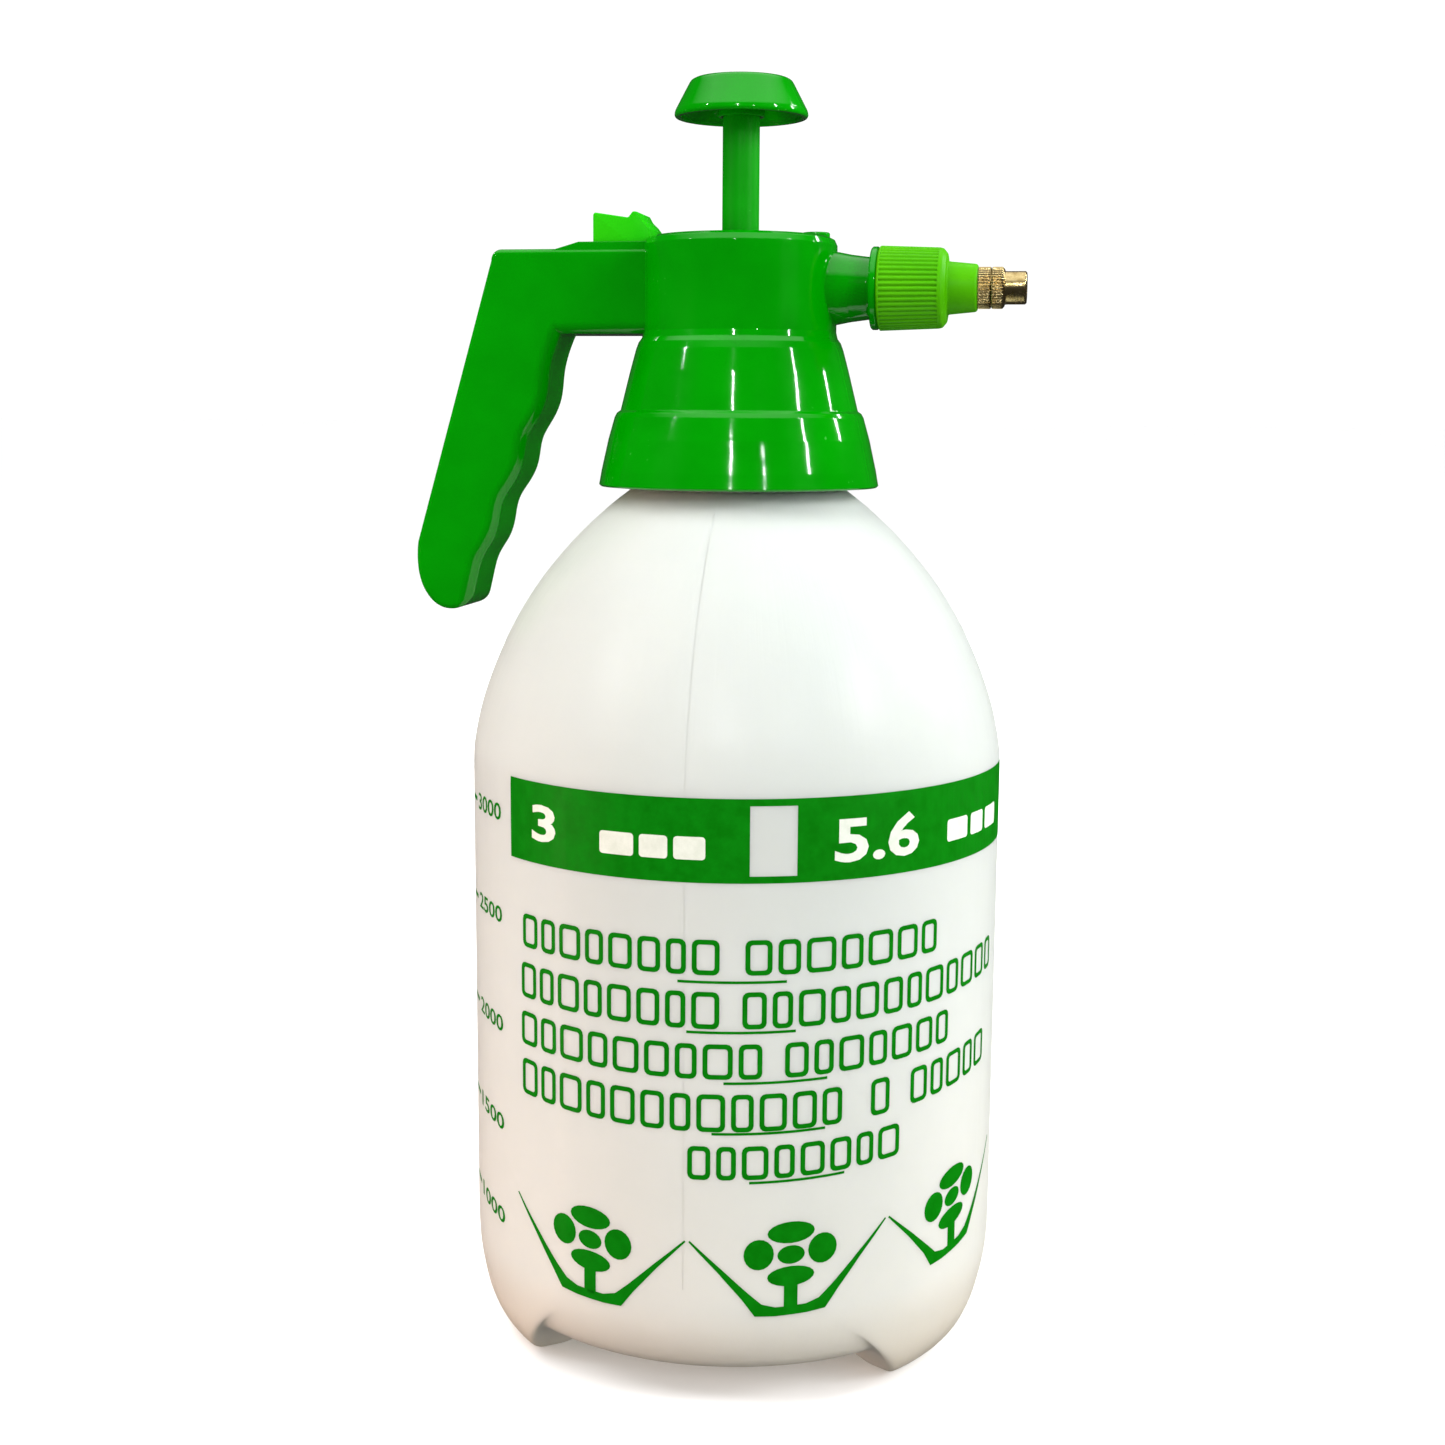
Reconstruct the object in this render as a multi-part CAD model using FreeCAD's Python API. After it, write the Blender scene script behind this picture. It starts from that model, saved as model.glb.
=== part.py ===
import FreeCAD, Part
import math
import os

# Hand pump sprayer. Millimetres, +Z up, +X towards the nozzle, -X towards the handle.
# The pieces are modelled about the bottle's axis, with heights from the mould's base plane, just under the feet.
# At the end all are moved along X and Z, so that the origin is the middle of the whole sprayer's footprint,
# on the surface that the three feet stand on.

# Bottle
bottle_radius = 73.5
bottle_wall = 1.8
wall_top = 166.0
neck_top = 262.0
neck_length = 21.0
neck_radius = 28.4
neck_bore = 25.4
heel_height = 40.0
crease_inset = 8.3
crease_height = 17.5
foot_low = 4.5
foot_inset = 16.5
foot_flat = 6.0
foot_count = 3

# Screw thread between bottle and head
thread_pitch = 5.5
thread_crest = 30.2
thread_low = 246.0
thread_turns = 2.2
thread_gap = 0.3

# Head
skirt_rim = 241.8
skirt_rim_radius = 38.4
gasket_thickness = 1.5
deck_thickness = 2.5
head_radius = 26.3
head_wall = 2.6
head_top = 308.7
shoulder_height = 283.5

# Handle
arm_low = 282.8
arm_top = 305.4
handle_half_width = 11.0
strip_half_width = 7.0
strip_thickness = 2.4

# Spout and nozzle
spout_height = 295.1
spout_radius = 8.3
flange_x = 36.0
flange_radius = 11.0
flange_thickness = 2.0
stub_radius = 7.6
stub_length = 13.0
nut_radius = 11.45
nut_length = 18.4
nose_length = 8.2
ring_radius = 5.3
ring_length = 3.7
ring_gap = 0.5
tip_radius = 4.2
tip_length = 4.6

# Pump
barrel_radius = 15.0
barrel_bore = 13.2
barrel_low = 140.0
barrel_top = 303.0
rod_radius = 5.0
knob_radius = 18.0
knob_rim = 340.0
knob_height = 10.3
piston_low = 192.0
guide_radius = 9.0

# Spray valve and button
valve_x = -34.0
hinge_x = -23.8
hinge_height = 303.6
pin_radius = 1.5
button_half_width = 8.2
channel_gap = 0.4
stem_radius = 2.0
stem_top = 302.3

# Hoses
port_x = 20.2
port_y = 4.1
dip_radius = 3.0
dip_bore = 1.9
hose_radius = 2.75
hose_bore = 1.75
hose_level = 272.0

# Release valve
release_x = 19.8
release_y = 6.0
release_radius = 3.4

# Clearances
running = 0.05
fitted = 0.05


def vec(x, y, z):
    return FreeCAD.Vector(x, y, z)


def post(radius, low, high, x=0.0, y=0.0):
    return Part.makeCylinder(radius, high - low, vec(x, y, low), vec(0, 0, 1))


def tube(outer, inner, low, high, x=0.0, y=0.0):
    return post(outer, low, high, x, y).cut(post(inner, low - 1, high + 1, x, y))


def bar(radius, start, end, y=0.0, z=spout_height):
    return Part.makeCylinder(radius, end - start, vec(start, y, z), vec(1, 0, 0))


def block(x0, x1, half, z0, z1):
    return Part.makeBox(x1 - x0, 2 * half, z1 - z0, vec(x0, -half, z0))


def turned(points):
    """Solid turned about Z from (radius, height) points."""
    corners = [vec(r, 0, z) for r, z in points]
    face = Part.Face(Part.makePolygon(corners + corners[:1]))
    return face.revolve(vec(0, 0, 0), vec(0, 0, 1), 360)


def turned_nozzle(points):
    """Solid turned about the spout's axis from (x, radius) points."""
    corners = [vec(x, 0, spout_height + r) for x, r in points]
    face = Part.Face(Part.makePolygon(corners + corners[:1]))
    return face.revolve(vec(0, 0, spout_height), vec(1, 0, 0), 360)


def side_plate(edges, half):
    """Plate of a closed outline in the XZ plane, reaching half to each side."""
    face = Part.Face(Part.Wire(edges))
    face.translate(vec(0, -half, 0))
    return face.extrude(vec(0, 2 * half, 0))


def outline(points):
    corners = [vec(x, 0, z) for x, z in points]
    return Part.makePolygon(corners + corners[:1]).Edges


def curve(points):
    spline = Part.BSplineCurve()
    spline.interpolate(points)
    return spline.toShape()


def hose(points, radius):
    path = Part.Wire(curve(points))
    circle = Part.makeCircle(radius, points[0], path.Edges[0].tangentAt(path.Edges[0].FirstParameter))
    return path.makePipeShell([Part.Wire(circle)], True, False)


def joined(first, *others):
    result = first
    for other in others:
        result = result.fuse(other)
    return result.removeSplitter()


def without(shape, *cutters):
    result = shape
    for cutter in cutters:
        result = result.cut(cutter)
    return result


def spring(radius, wire, low, high, turns, x=0.0, y=0.0):
    pitch = (high - low - 2 * wire) / turns
    helix = Part.makeHelix(pitch, pitch * turns, radius)
    circle = Part.Wire(Part.makeCircle(wire, vec(radius, 0, 0), vec(0, 1, 0)))
    coil = Part.Wire(helix).makePipeShell([circle], True, True)
    coil.translate(vec(x, y, low + wire))
    return coil


def ridge(root, crest, low, base_width, crest_width):
    """Helical ridge from the root radius to the crest radius."""
    height = thread_pitch * thread_turns
    helix = Part.makeHelix(thread_pitch, height, root)
    points = [(root, -base_width / 2), (root, base_width / 2), (crest, crest_width / 2), (crest, -crest_width / 2)]
    corners = [vec(r, 0, z) for r, z in points]
    profile = Part.makePolygon(corners + corners[:1])
    coil = Part.Wire(helix).makePipeShell([profile], True, True)
    coil.translate(vec(0, 0, low))
    return coil


# ---- bottle ----

shoulder_points = [(73.5, 166.0), (73.1, 172.0), (70.9, 182.4), (66.9, 193.8), (61.3, 205.4), (54.4, 216.3),
                   (45.4, 227.1), (36.2, 235.9), (29.8, 241.0)]


def shoulder_line():
    """The shoulder's outline, stretched to reach from the wall's top to the neck."""
    wall, neck = shoulder_points[0], shoulder_points[-1]
    wide = (bottle_radius - neck[0]) / (wall[0] - neck[0])
    tall = (neck_top - neck_length - wall_top) / (neck[1] - wall[1])
    return [(neck[0] + (r - neck[0]) * wide, wall_top + (z - wall[1]) * tall) for r, z in shoulder_points]


def shrunk(points, inset):
    """The outline moved inwards along its own normal."""
    moved = []
    for index, (r, z) in enumerate(points):
        before = points[max(index - 1, 0)]
        after = points[min(index + 1, len(points) - 1)]
        dr, dz = after[0] - before[0], after[1] - before[1]
        if index == 0:
            dr, dz = 0.0, 1.0
        length = math.hypot(dr, dz)
        moved.append((r - inset * dz / length, z + inset * dr / length))
    return moved


def bottle_form(inset):
    """The bottle's outer form, or its inner one when inset by the wall."""
    radius = bottle_radius - inset
    neck = neck_radius if inset == 0 else neck_bore
    top = neck_top if inset == 0 else neck_top + 5
    heel_low = (radius - crease_inset, crease_height + inset)
    heel_mid = (radius - 2.3, crease_height + 9.5)
    shoulder = shrunk(shoulder_line(), inset)
    start = vec(0, 0, crease_height + inset + 2)
    edges = [Part.makeLine(start, vec(heel_low[0], 0, heel_low[1]))]
    arc = Part.Arc(vec(heel_low[0], 0, heel_low[1]), vec(heel_mid[0], 0, heel_mid[1]), vec(radius, 0, heel_height))
    edges.append(arc.toShape())
    edges.append(Part.makeLine(vec(radius, 0, heel_height), vec(radius, 0, wall_top)))
    edges.append(curve([vec(r, 0, z) for r, z in shoulder]))
    last = shoulder[-1]
    edges.append(Part.makeLine(vec(last[0], 0, last[1]), vec(neck, 0, last[1] + 1.2)))
    edges.append(Part.makeLine(vec(neck, 0, last[1] + 1.2), vec(neck, 0, top)))
    edges.append(Part.makeLine(vec(neck, 0, top), vec(0, 0, top)))
    edges.append(Part.makeLine(vec(0, 0, top), start))
    return Part.Face(Part.Wire(edges)).revolve(vec(0, 0, 0), vec(0, 0, 1), 360)


def feet(inset):
    """Three round-nosed feet: a turned envelope cut to three upright cones."""
    radius = bottle_radius - inset
    reach = bottle_radius - foot_inset
    low = foot_low + inset
    envelope = [(radius, heel_height), (radius - 0.9, low + 19.5), (radius - 3.4, low + 10.0),
                (radius - 8.0, low + 3.2), (reach + foot_flat / 2, low), (reach - foot_flat / 2, low),
                (reach - 21.0, 18.0 + inset), (reach - 21.0, 26.0), (reach + foot_flat / 2, heel_height)]
    ring = turned(envelope)
    cones = []
    for index in range(foot_count):
        turn = math.radians(90 + 360 * index / foot_count)
        centre = vec(reach * math.cos(turn), reach * math.sin(turn), 0)
        cones.append(Part.makeCone(6.0 - 0.7 * inset, 46.0 - 0.7 * inset, heel_height, centre, vec(0, 0, 1)))
    return [ring.common(cone) for cone in cones]


def bottle():
    outside = joined(bottle_form(0.0), *feet(0.0))
    inside = joined(bottle_form(bottle_wall), *feet(bottle_wall))
    thread = ridge(neck_radius - 0.3, thread_crest, thread_low, 2.6, 1.2)
    return joined(without(outside, inside), thread)


# ---- head ----

skirt_outline = [(skirt_rim_radius - 0.5, skirt_rim), (skirt_rim_radius, skirt_rim + 0.5), (37.7, 246.2), (35.8, 254.6),
                 (34.1, 260.6), (33.5, 261.7), (32.5, 262.4), (32.1, 264.0), (29.9, 272.8), (28.3, 278.7),
                 (27.6, 280.6), (26.7, 281.8), (head_radius, shoulder_height)]


def head_form():
    top = [(head_radius, head_top - 2.2), (head_radius - 0.7, head_top - 0.7), (head_radius - 2.2, head_top),
           (0, head_top)]
    return turned([(0, skirt_rim)] + skirt_outline + top)


def head_hollow():
    deck = neck_top + gasket_thickness + deck_thickness
    inner = head_radius - head_wall
    return turned([(0, deck), (28.6, deck), (27.2, 272.8), (25.2, 279.5), (inner, shoulder_height),
                   (inner, head_top - 3), (0, head_top - 3)])


def neck_socket():
    bore = thread_crest + thread_gap
    seat = neck_top + gasket_thickness
    opening = post(skirt_rim_radius - 2.2, skirt_rim - 1, skirt_rim + 1.5)
    sleeve_gap = turned([(32.6, skirt_rim), (36.2, skirt_rim), (33.9, 252), (32.6, 252)])
    return opening.fuse(sleeve_gap).fuse(post(bore, skirt_rim, seat))


back_top = (-67.2, 302.4)
back_low = (-89.3, 225.6)


def handle_form():
    corner = Part.Arc(vec(-64.2, 0, arm_top), vec(-66.3, 0, 304.6), vec(back_top[0], 0, back_top[1])).toShape()
    back = Part.makeLine(vec(back_top[0], 0, back_top[1]), vec(back_low[0], 0, back_low[1]))
    heel = curve([vec(back_low[0], 0, back_low[1]), vec(-89.5, 0, 219.5), vec(-87.2, 0, 211.6),
                  vec(-82.5, 0, 207.4), vec(-77.5, 0, 207.4), vec(-73.9, 0, 211.0)])
    fingers = curve([vec(x, 0, z) for x, z in [
        (-73.9, 211.0), (-72.6, 216.5), (-70.9, 221.7), (-68.0, 226.4), (-66.3, 231.4), (-64.9, 237.4),
        (-61.6, 242.6), (-59.2, 248.0), (-57.9, 254.4), (-54.6, 260.2), (-52.3, 266.0), (-51.4, 273.0),
        (-49.6, 279.5), (-48.2, arm_low)]])
    under = Part.makeLine(vec(-48.2, 0, arm_low), vec(-20.0, 0, arm_low))
    front = Part.makeLine(vec(-20.0, 0, arm_low), vec(-20.0, 0, arm_top))
    top = Part.makeLine(vec(-20.0, 0, arm_top), vec(-64.2, 0, arm_top))
    plate = side_plate([corner, back, heel, fingers, under, front, top], handle_half_width)
    return rounded_handle(plate)


def long_edges(plate, under_hand):
    """The handle's long side edges: those under the hand, or all the others."""
    found = []
    for edge in plate.Edges:
        middle = edge.valueAt((edge.FirstParameter + edge.LastParameter) / 2)
        on_side = abs(middle.y) > handle_half_width - 0.1
        below = middle.z < arm_low + 0.5 and middle.x > -76
        if on_side and middle.x < -21 and below == under_hand:
            found.append(edge)
    return found


def rounded_handle(plate):
    """Round the long edges, softer on the finger side and under the arm."""
    soft = plate.makeFillet(3.2, long_edges(plate, True))
    sharp = [edge for edge in long_edges(soft, False) if edge.Length > 3]
    return soft.makeFillet(1.4, sharp)


def back_pocket(start, end, depth, half):
    """A slanted box let into the back of the grip."""
    down = vec(back_low[0] - back_top[0], 0, back_low[1] - back_top[1]).normalize()
    inward = vec(-down.z, 0, down.x)
    origin = vec(back_top[0], 0, back_top[1])
    corners = [origin + down * start, origin + down * end, origin + down * end + inward * depth,
               origin + down * start + inward * depth]
    return side_plate(Part.makePolygon(corners + corners[:1]).Edges, half)


def handle_back_strip():
    return back_pocket(9.0 + fitted, 72.0 - fitted, strip_thickness, strip_half_width - fitted)


def spout_form():
    reach = flange_x + flange_thickness
    neck = turned_nozzle([(18.0, 0), (18.0, 4.2), (23.0, 4.2), (23.0, 10.2), (27.0, 9.6), (30.5, 8.9),
                          (flange_x - 0.8, spout_radius), (flange_x, spout_radius), (flange_x, 0)])
    flange = turned_nozzle([(flange_x, 0), (flange_x, flange_radius - 0.4), (flange_x + 0.4, flange_radius),
                            (reach - 0.4, flange_radius), (reach, flange_radius - 0.4), (reach, 0)])
    return joined(neck, flange, bar(stub_radius, flange_x, reach + stub_length))


def head_housing():
    deck_low = neck_top + gasket_thickness
    pad = side_plate(outline([(-50.5, arm_top - 0.5), (-42.5, 307.2), (-22.0, 307.2), (-22.0, arm_top - 0.5)]), 10.6)
    shell = joined(head_form(), handle_form(), pad)
    shell = without(shell, head_hollow(), neck_socket())
    socket = tube(barrel_radius + 2, barrel_radius + fitted, 297.0, head_top - 2)
    guide_boss = tube(guide_radius + 2.5, guide_radius + fitted, 299.0, head_top - 2)
    tower = post(release_radius, deck_low, head_top - 1, release_x, release_y)
    elbow = post(3.2, 289.0, spout_height, port_x, -1.2)
    barb = post(hose_bore - fitted, 283.0, 290.0, port_x, -1.2)
    barrel_room = post(barrel_radius + fitted, deck_low - 1, barrel_top)
    added = joined(spout_form(), elbow, barb).cut(post(barrel_radius + 2, 280.0, head_top))
    shell = joined(shell, socket, guide_boss, tower, added)
    sleeve_thread = ridge(thread_crest + thread_gap + 0.3, neck_radius + thread_gap + 0.1,
                          thread_low + thread_pitch / 2, 2.6, 1.2)
    shell = joined(shell, sleeve_thread)
    cuts = [barrel_room.cut(guide_boss),
            post(guide_radius + fitted, 295.0, head_top + 1),
            block(-41.0, -20.6, button_half_width + channel_gap, 286.0, head_top + 5),
            post(dip_radius + 1.2, deck_low - 1, deck_low + 5, -port_x, port_y),
            post(1.0, 280.0, spout_height, port_x, -1.2),
            bar(2.0, 19.0, 32.0), bar(3.2, 31.0, flange_x + 20),
            post(1.2, deck_low - 1, head_top, release_x, release_y),
            post(2.6, 298.0, head_top + 1, release_x, release_y),
            pin_hole(), back_pocket(9.0, 72.0, 13.0, strip_half_width)]
    return without(shell, *cuts)


def pin_hole():
    return Part.makeCylinder(pin_radius + fitted, 20.4, vec(hinge_x, -10.2, hinge_height), vec(0, 1, 0))


def neck_gasket():
    return tube(neck_radius - 0.2, neck_bore + 0.2, neck_top, neck_top + gasket_thickness)


# ---- pump ----

def pump_barrel():
    seat = neck_top + gasket_thickness
    body = tube(barrel_radius, barrel_bore, barrel_low, barrel_top)
    floor = post(barrel_radius, barrel_low, barrel_low + 3)
    flange = tube(barrel_radius + 1.6, barrel_bore + 0.5, seat - 3.7, seat - 1.2)
    lip = tube(13.0, 11.0, barrel_low - 6, barrel_low + 0.5)
    inlet = post(2.5, barrel_low - 1, barrel_low + 4)
    return without(joined(body, floor, flange, lip), inlet)


def barrel_seal():
    seat = neck_top + gasket_thickness
    return tube(barrel_radius + 1.5, barrel_radius + fitted, seat - 1.2, seat)


def foot_valve_disc():
    disc = post(6.0, barrel_low - 1.4, barrel_low)
    return without(disc, post(1.2, barrel_low - 2, barrel_low - 0.8))


def foot_valve_cage():
    plate = post(10.95, barrel_low - 5.4, barrel_low - 3.1)
    wall = tube(10.95, 9.0, barrel_low - 5.4, barrel_low)
    holes = [post(1.6, barrel_low - 6, barrel_low, 6.4 * math.cos(turn), 6.4 * math.sin(turn))
             for turn in [math.radians(60 * step) for step in range(6)]]
    return without(joined(plate, wall), *holes)


def rod_guide():
    bush = post(guide_radius, 298.0, head_top + 0.2)
    wiper_room = post(7.0, head_top - 2.0, head_top + 1)
    return without(bush, wiper_room, post(rod_radius + running, 297.0, head_top + 2))


def rod_wiper():
    return tube(6.95, rod_radius + running / 2, head_top - 2.0, head_top - 0.3)


def pump_rod():
    thick = post(rod_radius, piston_low + 11, knob_rim + knob_height - 3.3)
    thin = post(3.5, piston_low - 4.2, piston_low + 12)
    return joined(thick, thin)


def pump_knob():
    top = knob_rim + knob_height
    outer = [(0, knob_rim), (knob_radius - 0.5, knob_rim), (knob_radius, knob_rim + 0.5),
             (knob_radius - 0.1, knob_rim + 1.6), (knob_radius - 3.8, top - 1.7), (knob_radius - 4.4, top - 0.6),
             (knob_radius - 5.6, top), (0, top)]
    hollow = [(6.0, knob_rim - 1), (knob_radius - 1.8, knob_rim - 1), (knob_radius - 1.8, knob_rim + 1.2),
              (knob_radius - 5.6, top - 2.2), (6.0, top - 2.2)]
    rod_room = post(rod_radius + fitted, knob_rim - 1, top - 3.2)
    return without(turned(outer), turned(hollow), rod_room)


def piston_head():
    low = piston_low
    bobbin = turned([(0, low), (12.9, low), (12.9, low + 3), (9.4, low + 3), (9.4, low + 8), (12.9, low + 8),
                     (12.9, low + 11), (0, low + 11)])
    return without(bobbin, post(3.5 + fitted, low - 1, low + 12))


def piston_seal():
    return tube(barrel_bore - running, 9.5, piston_low + 3.2, piston_low + 7.6)


def piston_nut():
    corners = [vec(6.5 * math.cos(turn), 6.5 * math.sin(turn), piston_low - 3.4)
               for turn in [math.radians(60 * step) for step in range(7)]]
    nut = Part.Face(Part.makePolygon(corners)).extrude(vec(0, 0, 3.4))
    return without(nut, post(3.5 + fitted, piston_low - 4, piston_low + 1))


# ---- spray valve, button and hoses ----

def drilled(start, end, radius):
    along = vec(*end) - vec(*start)
    return Part.makeCylinder(radius, along.Length, vec(*start), along)


def valve_body():
    tall = block(-40.4, -27.6, 6.5, 288.3, 299.0)
    low = block(-28.0, -17.9, 6.6, 288.3, 298.3)
    dip_barb = post(dip_bore - fitted, 282.5, 289.0, -port_x, port_y)
    hose_barb = post(hose_bore - fitted, 282.5, 289.0, -port_x, -port_y)
    cuts = [post(3.4, 289.8, 300.0, valve_x),
            drilled((valve_x, 0, 291.4), (-port_x, port_y, 291.4), 1.1),
            drilled((valve_x, 0, 296.4), (-port_x, -port_y, 296.4), 1.0),
            post(1.1, 281.0, 292.0, -port_x, port_y),
            post(1.0, 281.0, 297.0, -port_x, -port_y)]
    return without(joined(tall, low, dip_barb, hose_barb), *cuts)


def valve_cap():
    bush = post(3.4 - fitted, 295.2, 299.0, valve_x)
    chamber = post(2.8, 295.0, 297.4, valve_x)
    port = bar(0.9, valve_x, valve_x + 5, 0.0, 296.4)
    return without(bush, chamber, port, post(stem_radius + running, 295.0, 300.0, valve_x))


def valve_seal():
    return tube(3.3, stem_radius + 0.15, 294.2, 295.2, valve_x)


def valve_stem():
    return joined(post(stem_radius, 293.0, stem_top, valve_x), post(2.9, 293.0, 294.2, valve_x))


def valve_spring():
    return spring(2.2, 0.35, 289.8, 293.0, 3.0, valve_x)


def thumb_button():
    side = [(-40.0, 302.2), (-40.0, 315.0), (-39.6, 315.4), (-28.0, 314.3), (-26.9, 315.5), (-25.3, 315.4),
            (-24.2, 313.4), (-21.9, 311.9), (-21.3, 310.6), (-21.3, 301.4), (-26.2, 301.4), (-27.0, 302.2)]
    body = side_plate(outline(side), button_half_width)
    hollow = block(-38.4, -27.0, button_half_width - 1.6, 300.0, 312.2)
    nub = Part.makeCone(0.6, 2.2, 1.6, vec(valve_x, 0, stem_top + 0.1))
    presser = joined(nub, post(2.2, stem_top + 1.6, 313.0, valve_x))
    bore = Part.makeCylinder(pin_radius + 0.08, 30, vec(hinge_x, -15, hinge_height), vec(0, 1, 0))
    return without(joined(without(body, hollow), presser), bore)


def button_pin():
    return Part.makeCylinder(pin_radius, 20.2, vec(hinge_x, -10.1, hinge_height), vec(0, 1, 0))


def dip_points():
    out_x, out_y = -port_x / math.hypot(port_x, port_y), port_y / math.hypot(port_x, port_y)
    reach = math.hypot(port_x, port_y)
    heights = [(0, 288.2), (0, 260), (0, 230), (0, 200), (0, 170), (0.1, 140), (1.4, 110), (4.6, 82), (9.5, 58),
               (15.4, 38)]
    return [vec((reach + extra) * out_x, (reach + extra) * out_y, z) for extra, z in heights]


def dip_tube():
    return without(hose(dip_points(), dip_radius), hose(dip_points(), dip_bore))


def dip_tube_grommet():
    low = neck_top + gasket_thickness
    return tube(dip_radius + 1.15, dip_radius + 0.02, low, low + deck_thickness + 0.8, -port_x, port_y)


def dip_strainer():
    path = curve(dip_points())
    along = path.tangentAt(path.LastParameter)
    start = dip_points()[-1] - along * 5
    body = Part.makeCylinder(5.0, 18.0, start, along)
    throat = Part.makeCylinder(dip_radius + fitted, 5.0, start, along)
    chamber = Part.makeCylinder(3.8, 11.5, start + along * 5, along)
    body = without(body, throat, chamber)
    across = along.cross(vec(0, 0, 1)).normalize()
    for step in range(4):
        spin = FreeCAD.Rotation(along, 45 * step)
        side = spin.multVec(across)
        for row in range(3):
            centre = start + along * (7.5 + 3.0 * row)
            body = body.cut(Part.makeCylinder(0.8, 14.0, centre - side * 7, side))
    return body


def delivery_points():
    start = math.degrees(math.atan2(-port_y, -port_x)) + 360
    end = math.degrees(math.atan2(-1.2, port_x)) + 360
    rise = [(0.0, 288.2), (0.0, 283.5), (2.0, 278.6), (8.5, 274.4), (19.0, hose_level + 0.3)]
    turns = [(start + extra, z) for extra, z in rise]
    turns += [(start + 40, hose_level), (start + 82, hose_level), (end - 40, hose_level)]
    turns += [(end - extra, z + 0.7) for extra, z in reversed(rise)]
    points = []
    for turn, z in turns:
        share = (turn - start) / (end - start)
        reach = math.hypot(port_x, port_y) * (1 - share) + math.hypot(port_x, 1.2) * share
        points.append(vec(reach * math.cos(math.radians(turn)), reach * math.sin(math.radians(turn)), z))
    return points


def delivery_hose():
    return without(hose(delivery_points(), hose_radius), hose(delivery_points(), hose_bore))


# ---- nozzle ----

nut_start = flange_x + flange_thickness + 0.3
nut_end = nut_start + nut_length
nose_end = nut_end + nose_length
stub_end = flange_x + flange_thickness + stub_length
washer_end = stub_end + 1.4
ring_end = nose_end + 0.2 + ring_length
tip_start = ring_end + ring_gap
tip_end = tip_start + ring_length + tip_length - 0.4


def nozzle_nut():
    body = turned_nozzle([(nut_start, 0), (nut_start, nut_radius - 0.5), (nut_start + 0.5, nut_radius),
                          (nut_end - 3.2, 10.4), (nut_end - 1.2, 9.7), (nut_end - 0.2, 8.2), (nut_end, 6.9),
                          (nose_end - 0.4, 6.3), (nose_end, 5.9), (nose_end, 0)])
    rib_cut = Part.makeCylinder(0.45, 13.5, vec(nut_start + 1.5, 0, spout_height + nut_radius + 0.15), vec(1, 0, -0.055))
    grooves = []
    for step in range(48):
        groove = rib_cut.copy()
        groove.rotate(vec(0, 0, spout_height), vec(1, 0, 0), 7.5 * step)
        grooves.append(groove)
    bores = [bar(stub_radius + 0.3, nut_start - 1, washer_end), bar(3.95, washer_end - 1, nose_end + 1)]
    return without(body, *bores).cut(Part.makeCompound(grooves))


def nozzle_washer():
    return bar(7.4, stub_end, washer_end).cut(bar(4.0, stub_end - 1, washer_end + 1))


def nozzle_filter():
    cup = bar(3.1, stub_end - 11, stub_end - 0.2)
    return cup.cut(bar(2.3, stub_end - 9.8, stub_end))


def knurled(start, length, radius):
    ring = turned_nozzle([(start, 0), (start, radius - 0.3), (start + 0.3, radius),
                          (start + length - 0.3, radius), (start + length, radius - 0.3), (start + length, 0)])
    notch = Part.makeBox(length + 2, 0.5, 0.5, vec(start - 1, -0.25, radius - 0.18))
    notches = []
    for step in range(30):
        cutter = notch.copy()
        cutter.translate(vec(0, 0, spout_height))
        cutter.rotate(vec(0, 0, spout_height), vec(1, 0, 0), 12.0 * step)
        notches.append(cutter)
    return ring.cut(Part.makeCompound(notches))


def brass_base():
    stem = bar(3.9, washer_end + 0.5, nose_end + 0.3)
    spigot = bar(2.6, ring_end - 0.5, ring_end + 5.2)
    ring = knurled(nose_end + 0.2, ring_length, ring_radius)
    return joined(stem, spigot, ring).cut(bar(1.6, washer_end, ring_end + 6))


def swirl_core():
    core = bar(1.55, ring_end - 1.5, ring_end + 5.5)
    grooves = [bar(0.45, ring_end - 2, ring_end + 6, side * 1.5) for side in (-1, 1)]
    return without(core, *grooves)


def tip_seal():
    return bar(3.25, tip_start + 1.6, tip_start + 2.8).cut(bar(2.65, tip_start, tip_start + 4))


def brass_tip():
    ring = knurled(tip_start, ring_length - 0.2, ring_radius - 0.1)
    start = tip_start + ring_length - 0.3
    barrel = turned_nozzle([(start, 0), (start, 4.6), (start + 0.7, 4.6), (start + 1.0, tip_radius),
                            (tip_end - 0.4, tip_radius), (tip_end, tip_radius - 0.4), (tip_end, 0)])
    bores = [bar(3.3, tip_start - 1, tip_end - 2.6), bar(0.5, tip_end - 3, tip_end + 1),
             turned_nozzle([(tip_end - 0.9, 0), (tip_end - 0.9, 0.7), (tip_end + 0.1, 2.4), (tip_end + 0.1, 0)])]
    return without(joined(ring, barrel), *bores)


# ---- release valve ----

def release_knob():
    cap = post(3.8, head_top + 0.3, head_top + 1.7, release_x, release_y)
    cap = cap.makeFillet(0.5, cap.Edges[:1])
    stem = post(1.2, 299.0, head_top + 1, release_x, release_y)
    collar = post(2.4, 299.0, 300.4, release_x, release_y)
    return joined(cap, stem, collar)


def release_seal():
    return post(2.3, 298.0, 299.0, release_x, release_y)


def release_spring():
    return spring(1.9, 0.3, 300.4, head_top - 2.2, 5.0, release_x, release_y)


def release_bush():
    return tube(2.6 - fitted / 2, 1.2 + running, head_top - 2.2, head_top - 0.1, release_x, release_y)


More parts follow.
